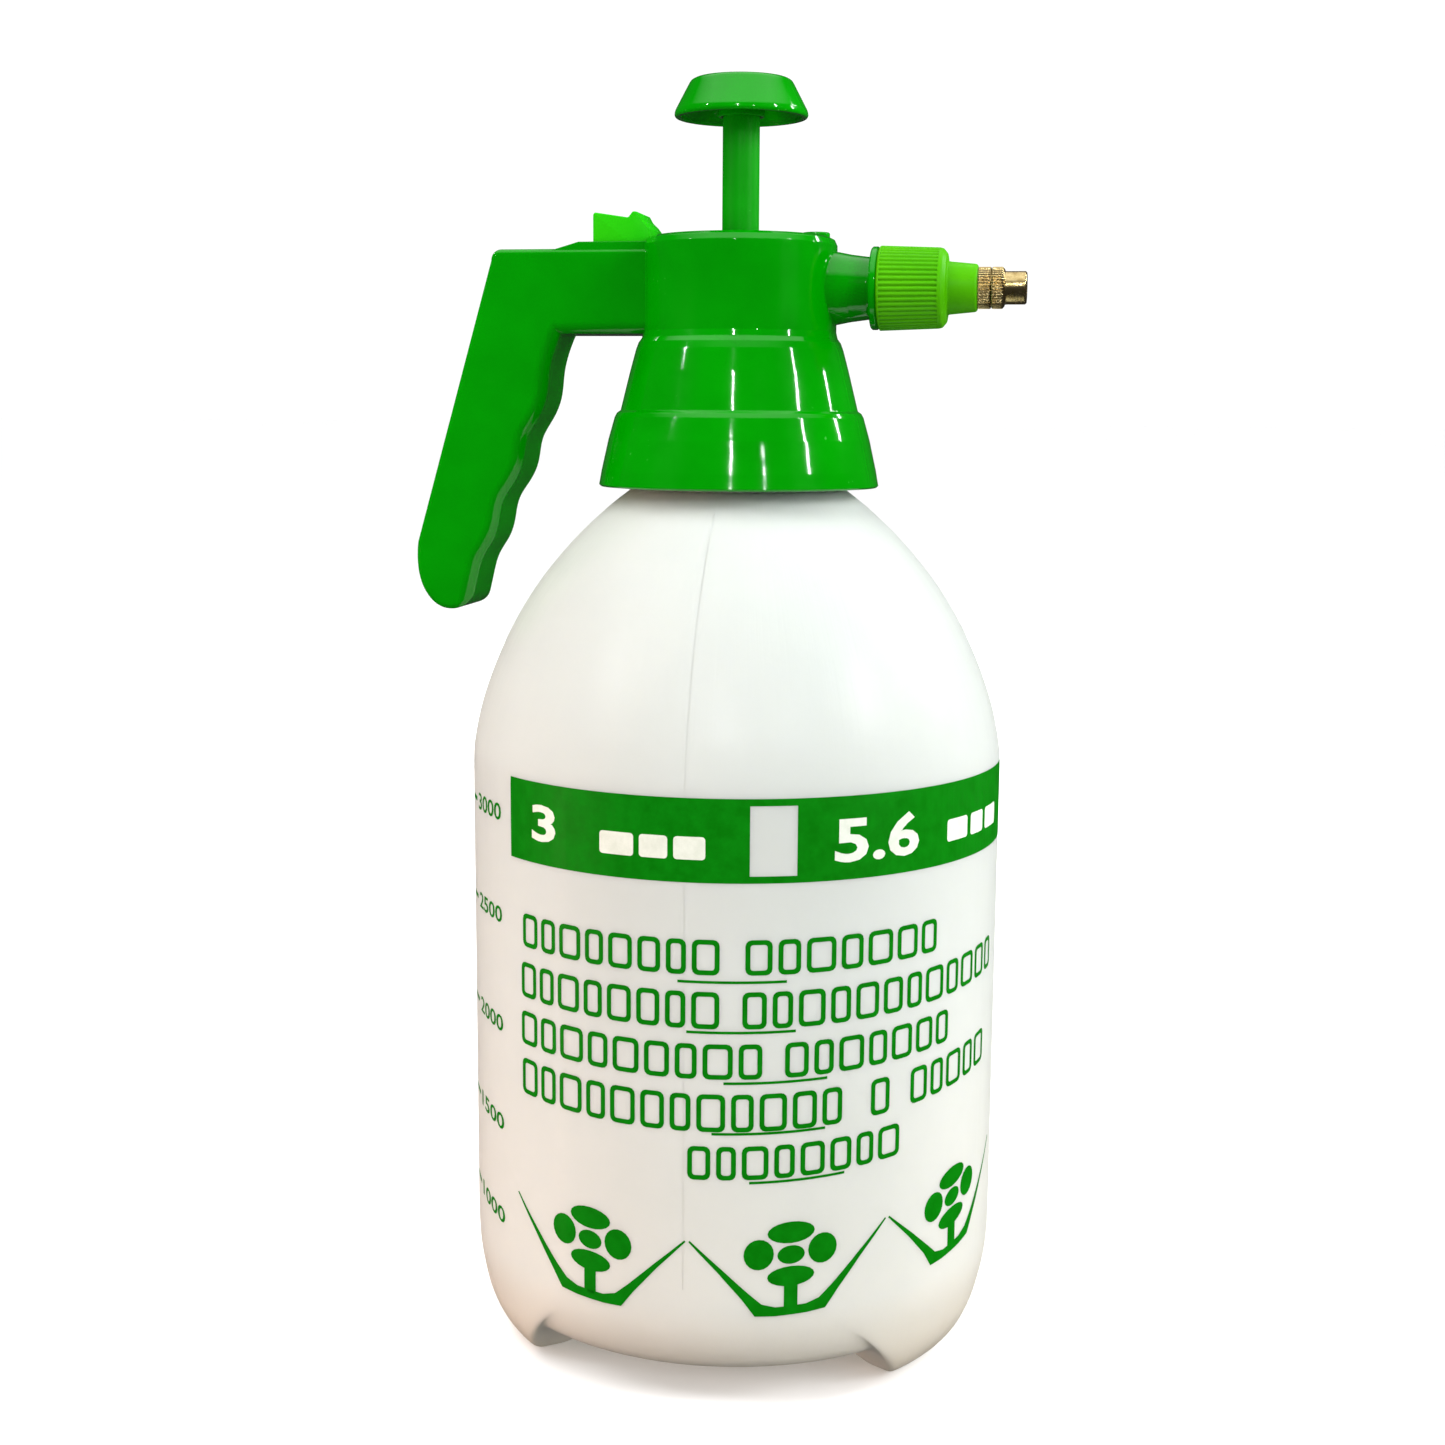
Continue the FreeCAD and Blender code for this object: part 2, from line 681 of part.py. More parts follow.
pieces = [bottle, neck_gasket, head_housing, handle_back_strip, pump_barrel, barrel_seal, foot_valve_disc,
          foot_valve_cage, rod_guide, rod_wiper, pump_rod, pump_knob, piston_head, piston_seal, piston_nut,
          valve_body, valve_cap, valve_seal, valve_stem, valve_spring, thumb_button, button_pin, dip_tube,
          dip_tube_grommet, dip_strainer, delivery_hose, nozzle_nut, nozzle_washer, nozzle_filter, brass_base,
          swirl_core, tip_seal, brass_tip, release_knob, release_seal, release_spring, release_bush]

shapes = {piece.__name__: piece() for piece in pieces}
front = max(shape.optimalBoundingBox().XMax for shape in shapes.values())
back = min(shape.optimalBoundingBox().XMin for shape in shapes.values())
bottle_axis = -(front + back) / 2
floor = min(shape.optimalBoundingBox().ZMin for shape in shapes.values())
print("bottle axis at x", round(bottle_axis, 3), "and the base plane at z", round(-floor, 3))

os.makedirs("parts", exist_ok=True)
for name, shape in shapes.items():
    shape.translate(vec(bottle_axis, 0, -floor))
    shape.exportStep("parts/" + name + ".step")
    print(name, shape.ShapeType, len(shape.Solids), round(shape.Volume), shape.isValid())
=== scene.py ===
import math
import bmesh
import bpy
from mathutils import Matrix, Vector


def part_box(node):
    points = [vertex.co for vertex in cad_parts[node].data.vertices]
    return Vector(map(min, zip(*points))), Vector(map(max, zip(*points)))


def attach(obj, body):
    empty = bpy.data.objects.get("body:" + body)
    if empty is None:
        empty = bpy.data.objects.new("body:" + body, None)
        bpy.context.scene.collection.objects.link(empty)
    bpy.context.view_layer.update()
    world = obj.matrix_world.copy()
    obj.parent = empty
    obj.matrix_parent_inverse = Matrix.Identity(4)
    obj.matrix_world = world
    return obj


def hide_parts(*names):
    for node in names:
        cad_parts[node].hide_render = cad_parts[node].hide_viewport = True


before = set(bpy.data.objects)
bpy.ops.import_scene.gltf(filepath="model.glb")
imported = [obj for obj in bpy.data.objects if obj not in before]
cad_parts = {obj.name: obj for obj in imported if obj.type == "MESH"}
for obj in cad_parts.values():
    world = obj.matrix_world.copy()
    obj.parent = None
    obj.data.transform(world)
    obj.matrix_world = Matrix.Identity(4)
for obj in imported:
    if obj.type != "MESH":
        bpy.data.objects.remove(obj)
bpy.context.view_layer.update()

mm = 0.001
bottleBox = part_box("bottle")
axisX = (bottleBox[0][0] + bottleBox[1][0]) / 2  # the bottle's axis stands beside the frame's origin
baseZ = bottleBox[1][2] - 262.0 * mm  # heights below are from the mould's base plane, just under the feet
spoutHeight = 295.1


# small helpers

def at(x, y, z):
    # millimetres from the bottle's axis and base plane to metres in the frame
    return Vector((axisX + x * mm, y * mm, baseZ + z * mm))


def link(piece):
    bpy.context.scene.collection.objects.link(piece)
    return piece


def lerp(a, b, share):
    return a + (b - a) * share


def smoothStep(value):
    share = min(max(value, 0.0), 1.0)
    return share * share * (3 - 2 * share)


def tidyMesh(mesh, merge=0.000002):
    # closes seams and poles, then turns every face outward
    work = bmesh.new()
    work.from_mesh(mesh)
    bmesh.ops.remove_doubles(work, verts=work.verts, dist=merge)
    bmesh.ops.dissolve_degenerate(work, edges=work.edges, dist=merge / 4)
    bmesh.ops.recalc_face_normals(work, faces=work.faces)
    for face in work.faces:
        face.smooth = True
    work.to_mesh(mesh)
    work.free()


def meshPiece(name, points, faces, material, body, node=None):
    mesh = bpy.data.meshes.new(name)
    mesh.from_pydata(points, [], faces)
    tidyMesh(mesh)
    piece = link(bpy.data.objects.new(name, mesh))
    mesh.materials.append(material)
    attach(piece, body)
    if node:
        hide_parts(node)
    return piece


# material helpers

def addNode(tree, kind, links=None, **settings):
    made = tree.nodes.new(kind)
    for name, value in settings.items():
        setattr(made, name, value)
    for key, value in (links or {}).items():
        if isinstance(value, bpy.types.NodeSocket):
            tree.links.new(value, made.inputs[key])
        else:
            made.inputs[key].default_value = value
    return made


def maths(tree, operation, *values):
    made = addNode(tree, "ShaderNodeMath", dict(enumerate(values)), operation=operation)
    return made.outputs[0]


def noise(tree, where, scale, detail=3.0, roughness=0.5):
    links = {"Vector": where, "Scale": scale, "Detail": detail, "Roughness": roughness}
    return addNode(tree, "ShaderNodeTexNoise", links).outputs["Fac"]


def spread(tree, value, low, high, toLow=0.0, toHigh=1.0):
    links = {"Value": value, "From Min": low, "From Max": high, "To Min": toLow, "To Max": toHigh}
    return addNode(tree, "ShaderNodeMapRange", links).outputs["Result"]


def blendColour(tree, share, first, second):
    links = {0: share, 6: first, 7: second}
    return addNode(tree, "ShaderNodeMix", links, data_type="RGBA").outputs[2]


def newGroup(name, inputs, outputs):
    tree = bpy.data.node_groups.new(name, "ShaderNodeTree")
    kinds = {"value": "NodeSocketFloat", "vector": "NodeSocketVector"}
    for label, kind, default in inputs:
        socket = tree.interface.new_socket(label, in_out="INPUT", socket_type=kinds[kind])
        if default is not None:
            socket.default_value = default
    for label, kind in outputs:
        tree.interface.new_socket(label, in_out="OUTPUT", socket_type=kinds[kind])
    return tree, tree.nodes.new("NodeGroupInput"), tree.nodes.new("NodeGroupOutput")


def mouldedGroup():
    # the skin of a moulded plastic: slow sink waves, a fine grain, slight cloudiness, a few scratches
    tree, given, out = newGroup(
        "mouldedSkin",
        [("Position", "vector", None), ("Wave size", "value", 70.0), ("Grain size", "value", 1500.0),
         ("Grain share", "value", 0.25)],
        [("Height", "value"), ("Cloud", "value"), ("Scratch", "value")])
    where = given.outputs["Position"]
    wave = noise(tree, where, given.outputs["Wave size"], 2.0)
    grain = noise(tree, where, given.outputs["Grain size"], 2.0)
    grainHeight = maths(tree, "MULTIPLY", grain, given.outputs["Grain share"])
    height = maths(tree, "ADD", wave, grainHeight)
    cloud = noise(tree, where, 38.0, 4.0, 0.6)
    bent = addNode(tree, "ShaderNodeMapping",
                   {"Vector": where, "Rotation": (0.5, 0.9, 0.4), "Scale": (26, 900, 900)})
    line = noise(tree, bent.outputs[0], 1.0, 1.0)
    patch = noise(tree, where, 55.0, 1.0)
    thin = spread(tree, line, 0.735, 0.76)
    scratch = maths(tree, "MULTIPLY", thin, spread(tree, patch, 0.56, 0.66))
    tree.links.new(height, out.inputs["Height"])
    tree.links.new(cloud, out.inputs["Cloud"])
    tree.links.new(scratch, out.inputs["Scratch"])
    return tree


def turnedMetalGroup():
    # lathe lines round the nozzle's axis, with handling tarnish
    tree, given, out = newGroup("turnedMetal", [("Position", "vector", None)],
                                [("Height", "value"), ("Tarnish", "value")])
    where = given.outputs["Position"]
    along = addNode(tree, "ShaderNodeMapping", {"Vector": where, "Scale": (9000, 60, 60)})
    line = noise(tree, along.outputs[0], 1.0, 3.0)
    tarnish = noise(tree, where, 420.0, 4.0, 0.65)
    tree.links.new(line, out.inputs["Height"])
    tree.links.new(tarnish, out.inputs["Tarnish"])
    return tree


mouldedSkin = mouldedGroup()
turnedMetal = turnedMetalGroup()


def startMaterial(name, metallic=0.0, specular=0.5, **uniform):
    material = bpy.data.materials.new(name)
    material.use_nodes = True
    tree = material.node_tree
    tree.nodes.clear()
    shader = addNode(tree, "ShaderNodeBsdfPrincipled", {"Metallic": metallic, "Specular IOR Level": specular})
    for label, value in uniform.items():
        shader.inputs[label.replace("_", " ")].default_value = value
    addNode(tree, "ShaderNodeOutputMaterial", {"Surface": shader.outputs[0]})
    where = addNode(tree, "ShaderNodeTexCoord").outputs["Object"]
    return material, tree, shader, where


def bumpTo(tree, shader, height, depth, soften=0.0):
    links = {"Height": height, "Distance": depth, "Strength": 1.0}
    if soften:
        links["Normal"] = addNode(tree, "ShaderNodeBevel", {"Radius": soften}, samples=6).outputs[0]
    bump = addNode(tree, "ShaderNodeBump", links)
    tree.links.new(bump.outputs[0], shader.inputs["Normal"])


def mouldedMaterial(name, dark, light, rough=(0.05, 0.10), depth=0.00012, soften=0.0, scratched=0.5,
                    wave=70.0, grain=1500.0, grainShare=0.03, specular=0.5, **uniform):
    material, tree, shader, where = startMaterial(name, specular=specular, **uniform)
    skinNode = addNode(tree, "ShaderNodeGroup")
    skinNode.node_tree = mouldedSkin
    tree.links.new(where, skinNode.inputs["Position"])
    skinNode.inputs["Wave size"].default_value = wave
    skinNode.inputs["Grain size"].default_value = grain
    skinNode.inputs["Grain share"].default_value = grainShare
    cloud = spread(tree, skinNode.outputs["Cloud"], 0.3, 0.7)
    colour = blendColour(tree, cloud, dark, light)
    scratch = maths(tree, "MULTIPLY", skinNode.outputs["Scratch"], scratched)
    pale = tuple(min(1.0, channel * 1.6 + 0.05) for channel in light[:3]) + (1.0,)
    tree.links.new(blendColour(tree, scratch, colour, pale), shader.inputs["Base Color"])
    gloss = spread(tree, skinNode.outputs["Cloud"], 0.25, 0.75, *rough)
    worn = maths(tree, "MULTIPLY", scratch, 0.3)
    tree.links.new(maths(tree, "ADD", gloss, worn), shader.inputs["Roughness"])
    bumpTo(tree, shader, skinNode.outputs["Height"], depth, soften=soften)
    return material


def brassMaterial(name, dark, light, rough):
    material, tree, shader, where = startMaterial(name, metallic=1.0)
    metal = addNode(tree, "ShaderNodeGroup")
    metal.node_tree = turnedMetal
    tree.links.new(where, metal.inputs["Position"])
    tarnish = spread(tree, metal.outputs["Tarnish"], 0.35, 0.7)
    tree.links.new(blendColour(tree, tarnish, light, dark), shader.inputs["Base Color"])
    tree.links.new(spread(tree, metal.outputs["Tarnish"], 0.3, 0.75, *rough), shader.inputs["Roughness"])
    bumpTo(tree, shader, metal.outputs["Height"], 0.00003)
    return material


def bottleMaterial():
    # milky polyethylene: orange peel, slow waves, upright streaks on the shoulder; its colour has painted
    # shade, darker on the shoulder and darker and browner at the feet, and painted light, brighter and warmer
    # on the lower wall
    material, tree, shader, where = startMaterial("bottlePlastic", specular=0.42)
    shader.subsurface_method = "RANDOM_WALK"
    shader.inputs["Subsurface Weight"].default_value = 0.55
    shader.inputs["Subsurface Radius"].default_value = (1.0, 1.0, 0.86)
    shader.inputs["Subsurface Scale"].default_value = 0.006
    parts = addNode(tree, "ShaderNodeSeparateXYZ", {"Vector": where})
    fromAxis = maths(tree, "SUBTRACT", parts.outputs["X"], axisX)
    turn = maths(tree, "ARCTAN2", parts.outputs["Y"], fromAxis)
    height = parts.outputs["Z"]
    upright = addNode(tree, "ShaderNodeCombineXYZ", {"X": maths(tree, "MULTIPLY", turn, 26.0),
                                                    "Y": maths(tree, "MULTIPLY", height, 9.0), "Z": 0.0})
    streak = noise(tree, upright.outputs[0], 1.0, 3.0, 0.6)
    shoulder = spread(tree, height, 0.160, 0.190)
    peel = noise(tree, where, 620.0, 2.0)
    slow = noise(tree, where, 45.0, 2.0)
    relief = maths(tree, "ADD", maths(tree, "MULTIPLY", peel, 0.10), slow)
    uprightRelief = maths(tree, "MULTIPLY", maths(tree, "MULTIPLY", streak, shoulder), 0.35)
    bumpTo(tree, shader, maths(tree, "ADD", relief, uprightRelief), 0.00022)
    # painted light: below about 110 mm the wall is made brighter and warmer
    paintedLightLow = spread(tree, height, 0.11, 0.0)
    # painted shade: the lowest 30 mm, at the feet, is made darker and browner
    base = spread(tree, height, 0.030, 0.004)
    # painted shade: from 105 mm up to 215 mm the colour darkens towards the shoulder, to hold back the strong
    # light from above
    shoulderShadeRamp = spread(tree, height, 0.215, 0.105)
    soft = maths(tree, "MULTIPLY", maths(tree, "MULTIPLY", shoulderShadeRamp, shoulderShadeRamp),
                 maths(tree, "MULTIPLY_ADD", shoulderShadeRamp, -2.0, 3.0))
    wallWithPaintedShade = blendColour(tree, soft, (0.525, 0.565, 0.535, 1), (0.665, 0.695, 0.64, 1))
    wallWithPaintedLight = blendColour(tree, paintedLightLow, wallWithPaintedShade, (0.79, 0.76, 0.66, 1))
    cloud = spread(tree, noise(tree, where, 30.0, 4.0, 0.6), 0.3, 0.75, 0.0, 0.35)
    mottleAndPaintedShading = blendColour(tree, cloud, wallWithPaintedLight, (0.61, 0.64, 0.585, 1))
    tree.links.new(blendColour(tree, base, mottleAndPaintedShading, (0.76, 0.66, 0.52, 1)), shader.inputs["Base Color"])
    tree.links.new(spread(tree, streak, 0.3, 0.7, 0.30, 0.40), shader.inputs["Roughness"])
    return material


def inkMaterial(name, dark, light):
    # screen-printed ink: slightly uneven coverage and a faint film edge
    material, tree, shader, where = startMaterial(name, specular=0.12)
    coverage = noise(tree, where, 260.0, 4.0, 0.7)
    share = spread(tree, coverage, 0.35, 0.7)
    tree.links.new(blendColour(tree, share, dark, light), shader.inputs["Base Color"])
    tree.links.new(spread(tree, coverage, 0.3, 0.7, 0.34, 0.5), shader.inputs["Roughness"])
    bumpTo(tree, shader, noise(tree, where, 900.0, 2.0), 0.00002)
    return material


finishes = {
    "headGreen": mouldedMaterial("headGreen", (0.0, 0.215, 0.0, 1), (0.0, 0.265, 0.0, 1), soften=0.0004),
    "knobGreen": mouldedMaterial("knobGreen", (0.0, 0.235, 0.0, 1), (0.0, 0.285, 0.0, 1)),
    "rodGreen": mouldedMaterial("rodGreen", (0.0, 0.225, 0.0, 1), (0.0, 0.27, 0.0, 1), rough=(0.3, 0.42),
                                specular=0.12),
    "buttonGreen": mouldedMaterial("buttonGreen", (0.004, 0.42, 0.0, 1), (0.02, 0.50, 0.0, 1),
                                   rough=(0.30, 0.40), depth=0.0001, specular=0.12),
    "nutGreen": mouldedMaterial("nutGreen", (0.05, 0.33, 0.0, 1), (0.078, 0.41, 0.0, 1), rough=(0.32, 0.42),
                                depth=0.00008, specular=0.1),
    "naturalPlastic": mouldedMaterial("naturalPlastic", (0.72, 0.74, 0.70, 1), (0.80, 0.81, 0.77, 1),
                                      rough=(0.35, 0.5)),
    "clearTube": mouldedMaterial("clearTube", (0.66, 0.72, 0.68, 1), (0.74, 0.79, 0.75, 1),
                                 rough=(0.16, 0.26)),
    "blackRubber": mouldedMaterial("blackRubber", (0.012, 0.012, 0.012, 1), (0.028, 0.028, 0.028, 1),
                                   rough=(0.5, 0.7), grain=2600.0, grainShare=0.6, depth=0.0001),
    "brassBright": brassMaterial("brassBright", (0.46, 0.31, 0.10, 1), (0.92, 0.74, 0.36, 1), (0.16, 0.32)),
    "brightSteel": brassMaterial("brightSteel", (0.30, 0.30, 0.31, 1), (0.62, 0.62, 0.64, 1), (0.2, 0.4)),
    "bottlePlastic": bottleMaterial(),
    "printGreen": inkMaterial("printGreen", (0.0, 0.15, 0.0, 1), (0.0, 0.195, 0.001, 1)),
    "printPale": inkMaterial("printPale", (0.66, 0.70, 0.60, 1), (0.78, 0.81, 0.72, 1)),
}
print("finishes made")


# turned pieces

def turnedTree():
    # spins a profile about Z; the profile's Y is how deep the ribs cut at that point
    tree = bpy.data.node_groups.new("turnedPiece", "GeometryNodeTree")
    for label, kind in (("Geometry", "Geometry"), ("Segments", "Int"), ("Rib count", "Int"),
                        ("Rib edge", "Float"), ("Material", "Material")):
        tree.interface.new_socket(label, in_out="INPUT", socket_type="NodeSocket" + kind)
    tree.interface.new_socket("Geometry", in_out="OUTPUT", socket_type="NodeSocketGeometry")
    given = tree.nodes.new("NodeGroupInput")
    out = tree.nodes.new("NodeGroupOutput")
    profile = given.outputs["Geometry"]
    size = addNode(tree, "GeometryNodeAttributeDomainSize", {"Geometry": profile}).outputs["Point Count"]
    columns = maths(tree, "ADD", given.outputs["Segments"], 1.0)
    grid = addNode(tree, "GeometryNodeMeshGrid", {"Vertices X": columns, "Vertices Y": size})
    index = addNode(tree, "GeometryNodeInputIndex").outputs[0]
    row = maths(tree, "FLOORED_MODULO", index, size)
    column = maths(tree, "FLOOR", maths(tree, "DIVIDE", maths(tree, "ADD", index, 0.5), size))
    position = addNode(tree, "GeometryNodeInputPosition").outputs[0]
    sample = addNode(tree, "GeometryNodeSampleIndex", data_type="FLOAT_VECTOR", domain="POINT")
    tree.links.new(profile, sample.inputs["Geometry"])
    tree.links.new(position, sample.inputs["Value"])
    tree.links.new(row, sample.inputs["Index"])
    spot = addNode(tree, "ShaderNodeSeparateXYZ", {"Vector": sample.outputs[0]})
    turn = maths(tree, "MULTIPLY", maths(tree, "DIVIDE", column, given.outputs["Segments"]), math.tau)
    wave = maths(tree, "COSINE", maths(tree, "MULTIPLY", turn, given.outputs["Rib count"]))
    groove = maths(tree, "POWER", maths(tree, "MULTIPLY_ADD", wave, 0.5, 0.5), given.outputs["Rib edge"])
    radius = maths(tree, "SUBTRACT", spot.outputs["X"], maths(tree, "MULTIPLY", groove, spot.outputs["Y"]))
    across = maths(tree, "MULTIPLY", radius, maths(tree, "COSINE", turn))
    deep = maths(tree, "MULTIPLY", radius, maths(tree, "SINE", turn))
    goal = addNode(tree, "ShaderNodeCombineXYZ", {"X": across, "Y": deep, "Z": spot.outputs["Z"]})
    moved = addNode(tree, "GeometryNodeSetPosition",
                    {"Geometry": grid.outputs["Mesh"], "Position": goal.outputs[0]})
    closed = addNode(tree, "GeometryNodeMergeByDistance",
                     {"Geometry": moved.outputs[0], "Distance": 0.000002})
    smooth = addNode(tree, "GeometryNodeSetShadeSmooth", {"Geometry": closed.outputs[0]})
    real = addNode(tree, "GeometryNodeRealizeInstances", {"Geometry": smooth.outputs[0]})
    finished = addNode(tree, "GeometryNodeSetMaterial", {"Geometry": real.outputs[0],
                                                        "Material": given.outputs["Material"]})
    tree.links.new(finished.outputs[0], out.inputs[0])
    return tree


turnedPieceTree = turnedTree()
alongSpout = Matrix.Rotation(math.pi / 2, 4, "Y")  # turns a piece's Z onto the spout's X


def rounded(corners, bend=0.35):
    # the outline's corners as small arcs; each corner is a radius, a height and, where ribbed, a rib depth
    points = []
    for index, (radius, height, *rib) in enumerate(corners):
        depth = rib[0] if rib else 0.0
        here = Vector((radius, height))
        if index in (0, len(corners) - 1):
            points.append((radius, depth, height))
            continue
        before = Vector(corners[index - 1][:2])
        after = Vector(corners[index + 1][:2])
        reach = min(bend, 0.42 * (here - before).length, 0.42 * (after - here).length)
        start = here + (before - here).normalized() * reach
        end = here + (after - here).normalized() * reach
        for step in range(5):
            share = step / 4
            spot = start.lerp(here, share).lerp(here.lerp(end, share), share)
            points.append((spot.x, depth, spot.y))
    return points


def turned(name, corners, finish, body, node, segments=160, ribs=0, ribEdge=1.0, bend=0.35, axis="up"):
    mesh = bpy.data.meshes.new(name)
    points = [(radius * mm, depth * mm, height * mm) for radius, depth, height in rounded(corners, bend)]
    mesh.from_pydata(points, [(step, step + 1) for step in range(len(points) - 1)], [])
    piece = link(bpy.data.objects.new(name, mesh))
    modifier = piece.modifiers.new("turned", "NODES")
    modifier.node_group = turnedPieceTree
    values = {"Segments": segments, "Rib count": ribs, "Rib edge": ribEdge, "Material": finishes[finish]}
    for item in turnedPieceTree.interface.items_tree:
        if item.in_out == "INPUT" and item.name in values:
            modifier[item.identifier] = values[item.name]
    solid = bpy.data.meshes.new_from_object(piece.evaluated_get(bpy.context.evaluated_depsgraph_get()))
    piece.modifiers.clear()
    piece.data = solid
    if axis == "spout":
        solid.transform(Matrix.Translation(at(0, 0, spoutHeight)) @ alongSpout)
    else:
        solid.transform(Matrix.Translation(at(0, 0, 0)))
    tidyMesh(solid)
    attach(piece, body)
    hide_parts(node)


knob = {
    "rim": 340.0, "top": 350.3, "radius": 18.0, "socket": 6.2, "rodSeat": 5.2,
}


def pumpKnob():
    rim, top, reach = knob["rim"], knob["top"], knob["radius"]
    corners = [(0, top), (reach - 8, top), (reach - 5.6, top - 0.1), (reach - 4.4, top - 0.7),
               (reach - 3.8, top - 1.7), (reach - 0.15, rim + 1.7), (reach, rim + 0.6), (reach - 0.4, rim),
               (reach - 1.8, rim), (reach - 1.9, rim + 1.2), (reach - 5.6, top - 3.1),
               (knob["socket"] + 0.2, top - 3.2), (knob["socket"], rim + 0.2), (knob["rodSeat"], rim + 0.2),
               (knob["rodSeat"], top - 3.2), (0, top - 3.2)]
    turned("pumpKnobCap", corners, "knobGreen", "pump", node="pump_knob", bend=0.5)


rod = {
    "top": 346.9, "radius": 5.0, "pistonSeat": 203.0, "foot": 187.8, "footRadius": 3.5,
}


def pumpRod():
    reach, slim, seat = rod["radius"], rod["footRadius"], rod["pistonSeat"]
    corners = [(0, rod["top"]), (reach - 0.4, rod["top"]), (reach, rod["top"] - 0.4), (reach, seat + 0.2),
               (slim, seat), (slim, rod["foot"] + 0.1), (0, rod["foot"])]
    turned("pumpRodBar", corners, "rodGreen", "pump", node="pump_rod", segments=96)


nut = {
    "start": 38.0, "length": 18.2, "radius": 11.2, "ribs": 48, "nose": 8.1,
}


def nozzleNut():
    start, length, reach = nut["start"], nut["length"], nut["radius"]
    end = start + length
    corners = [(8.0, start), (reach - 0.5, start), (reach, start + 0.4, 0.0), (reach, start + 0.6, 0.0),
               (reach, start + 0.8, 0.5), (reach - 0.55, end - 2.3, 0.48), (reach - 0.6, end - 1.9, 0.0),
               (reach - 0.8, end - 1.1), (reach - 2.1, end), (7.1, end + 0.2), (6.95, end + 0.8),
               (6.3, end + nut["nose"] - 0.5), (5.9, end + nut["nose"]), (3.2, end + nut["nose"]),
               (3.2, end - 2.6), (7.95, end - 2.7), (8.0, start)]
    turned("nozzleNutShell", corners, "nutGreen", "nut", node="nozzle_nut", segments=nut["ribs"] * 8,
           ribs=nut["ribs"], ribEdge=2.6, bend=0.3, axis="spout")


brass = {
    "ringStart": 64.3, "ringLength": 3.5, "ringRadius": 5.5, "gap": 0.2, "tipRadius": 4.35, "tipEnd": 77.2,
    "knurls": 40,
}


def brassPieces():
    start, length, reach = brass["ringStart"], brass["ringLength"], brass["ringRadius"]
    end = start + length
    base = [(0, 55.2), (3.0, 55.2), (3.0, start), (reach - 0.2, start), (reach, start + 0.25, 0.42),
            (reach, end - 0.25, 0.42), (reach - 0.2, end), (3.2, end), (3.2, end + 1.8), (0, end + 1.8)]
    turned("brassBaseRing", base, "brassBright", "nut", node="brass_base", segments=brass["knurls"] * 8,
           ribs=brass["knurls"], ribEdge=2.0, bend=0.12, axis="spout")
    tipStart = end + brass["gap"]
    tipEnd, slim = brass["tipEnd"], brass["tipRadius"]
    tip = [(3.3, tipStart), (reach - 0.2, tipStart), (reach, tipStart + 0.25, 0.42),
           (reach, tipStart + length - 0.7, 0.42), (reach - 0.6, tipStart + length - 0.15),
           (slim + 0.05, tipStart + length), (slim, tipStart + length + 0.4), (slim, tipEnd - 0.4),
           (slim - 0.35, tipEnd), (2.2, tipEnd), (0.6, tipEnd - 0.9), (0.5, tipEnd - 2.6),
           (3.3, tipEnd - 2.7), (3.3, tipStart)]
    turned("brassTipRing", tip, "brassBright", "tip", node="brass_tip", segments=brass["knurls"] * 8,
           ribs=brass["knurls"], ribEdge=2.0, bend=0.12, axis="spout")


pumpKnob()
pumpRod()
nozzleNut()
brassPieces()
print("turned pieces made")


# bottle

bottle = {
    "radius": 73.5, "wall": 1.8, "wallTop": 166.0, "neckTop": 262.0, "standsOn": 4.55, "footReach": 57.0,
    "footTurns": (92.5, 212.5, 332.5), "footHalf": 6.2, "footFlare": 0.75, "footBlend": 5.5, "segments": 288,
    "skin": 0.09,  # this much slimmer than its CAD node, so that the print on it stays inside
    # outlines as (radius, height), from the neck down
    "shoulder": [(28.35, 262.0), (28.35, 242.4), (29.8, 241.0), (36.2, 235.9), (45.4, 227.1), (54.4, 216.3),
                 (61.3, 205.4), (66.9, 193.8), (70.9, 182.4), (73.1, 172.0), (73.5, 166.0)],
    "heelBetweenFeet": [(73.5, 36.0), (73.3, 31.8), (72.9, 28.0), (72.1, 24.4), (70.9, 21.2), (69.2, 18.4),
                        (66.9, 16.4), (63.6, 15.7), (56.0, 16.4), (48.0, 17.2), (38.0, 18.1), (24.0, 19.0),
                        (11.0, 19.4), (0.0, 19.5)],
    "heelAtFoot": [(73.4, 33.5), (73.1, 28.5), (72.3, 23.0), (70.9, 16.6), (68.8, 11.4), (66.0, 7.4),
                   (62.8, 5.1), (59.8, 4.5), (55.4, 4.5), (51.6, 5.8), (46.0, 10.4), (38.0, 17.0),
                   (18.0, 19.1), (0.0, 19.5)],
}
wallSteps = [(bottle["radius"], bottle["wallTop"] - 9.0 * step) for step in range(1, 15)]


def footShare(turn, height):
    # how far this side of the heel has become a foot: the feet flare upward like cones
    nearest = min(abs((math.degrees(turn) - foot + 180) % 360 - 180) for foot in bottle["footTurns"])
    reach = bottle["footHalf"] + bottle["footFlare"] * height
    aside = math.radians(nearest) * bottle["footReach"]
    return smoothStep((reach + bottle["footBlend"] - aside) / (2 * bottle["footBlend"]))


def smoothRow(points, parts):
    # a soft curve through the points (Catmull-Rom), so that the bands between them don't show
    row = []
    for index in range(len(points) - 1):
        before = Vector(points[max(index - 1, 0)])
        start, end = Vector(points[index]), Vector(points[index + 1])
        after = Vector(points[min(index + 2, len(points) - 1)])
        for step in range(parts):
            share = step / parts
            curve = (2 * start + (end - before) * share
                     + (2 * before - 5 * start + 4 * end - after) * share ** 2
                     + (3 * start - before - 3 * end + after) * share ** 3)
            row.append(curve / 2)
    row.append(Vector(points[-1]))
    return row


shoulderCurve = smoothRow(bottle["shoulder"], 5)


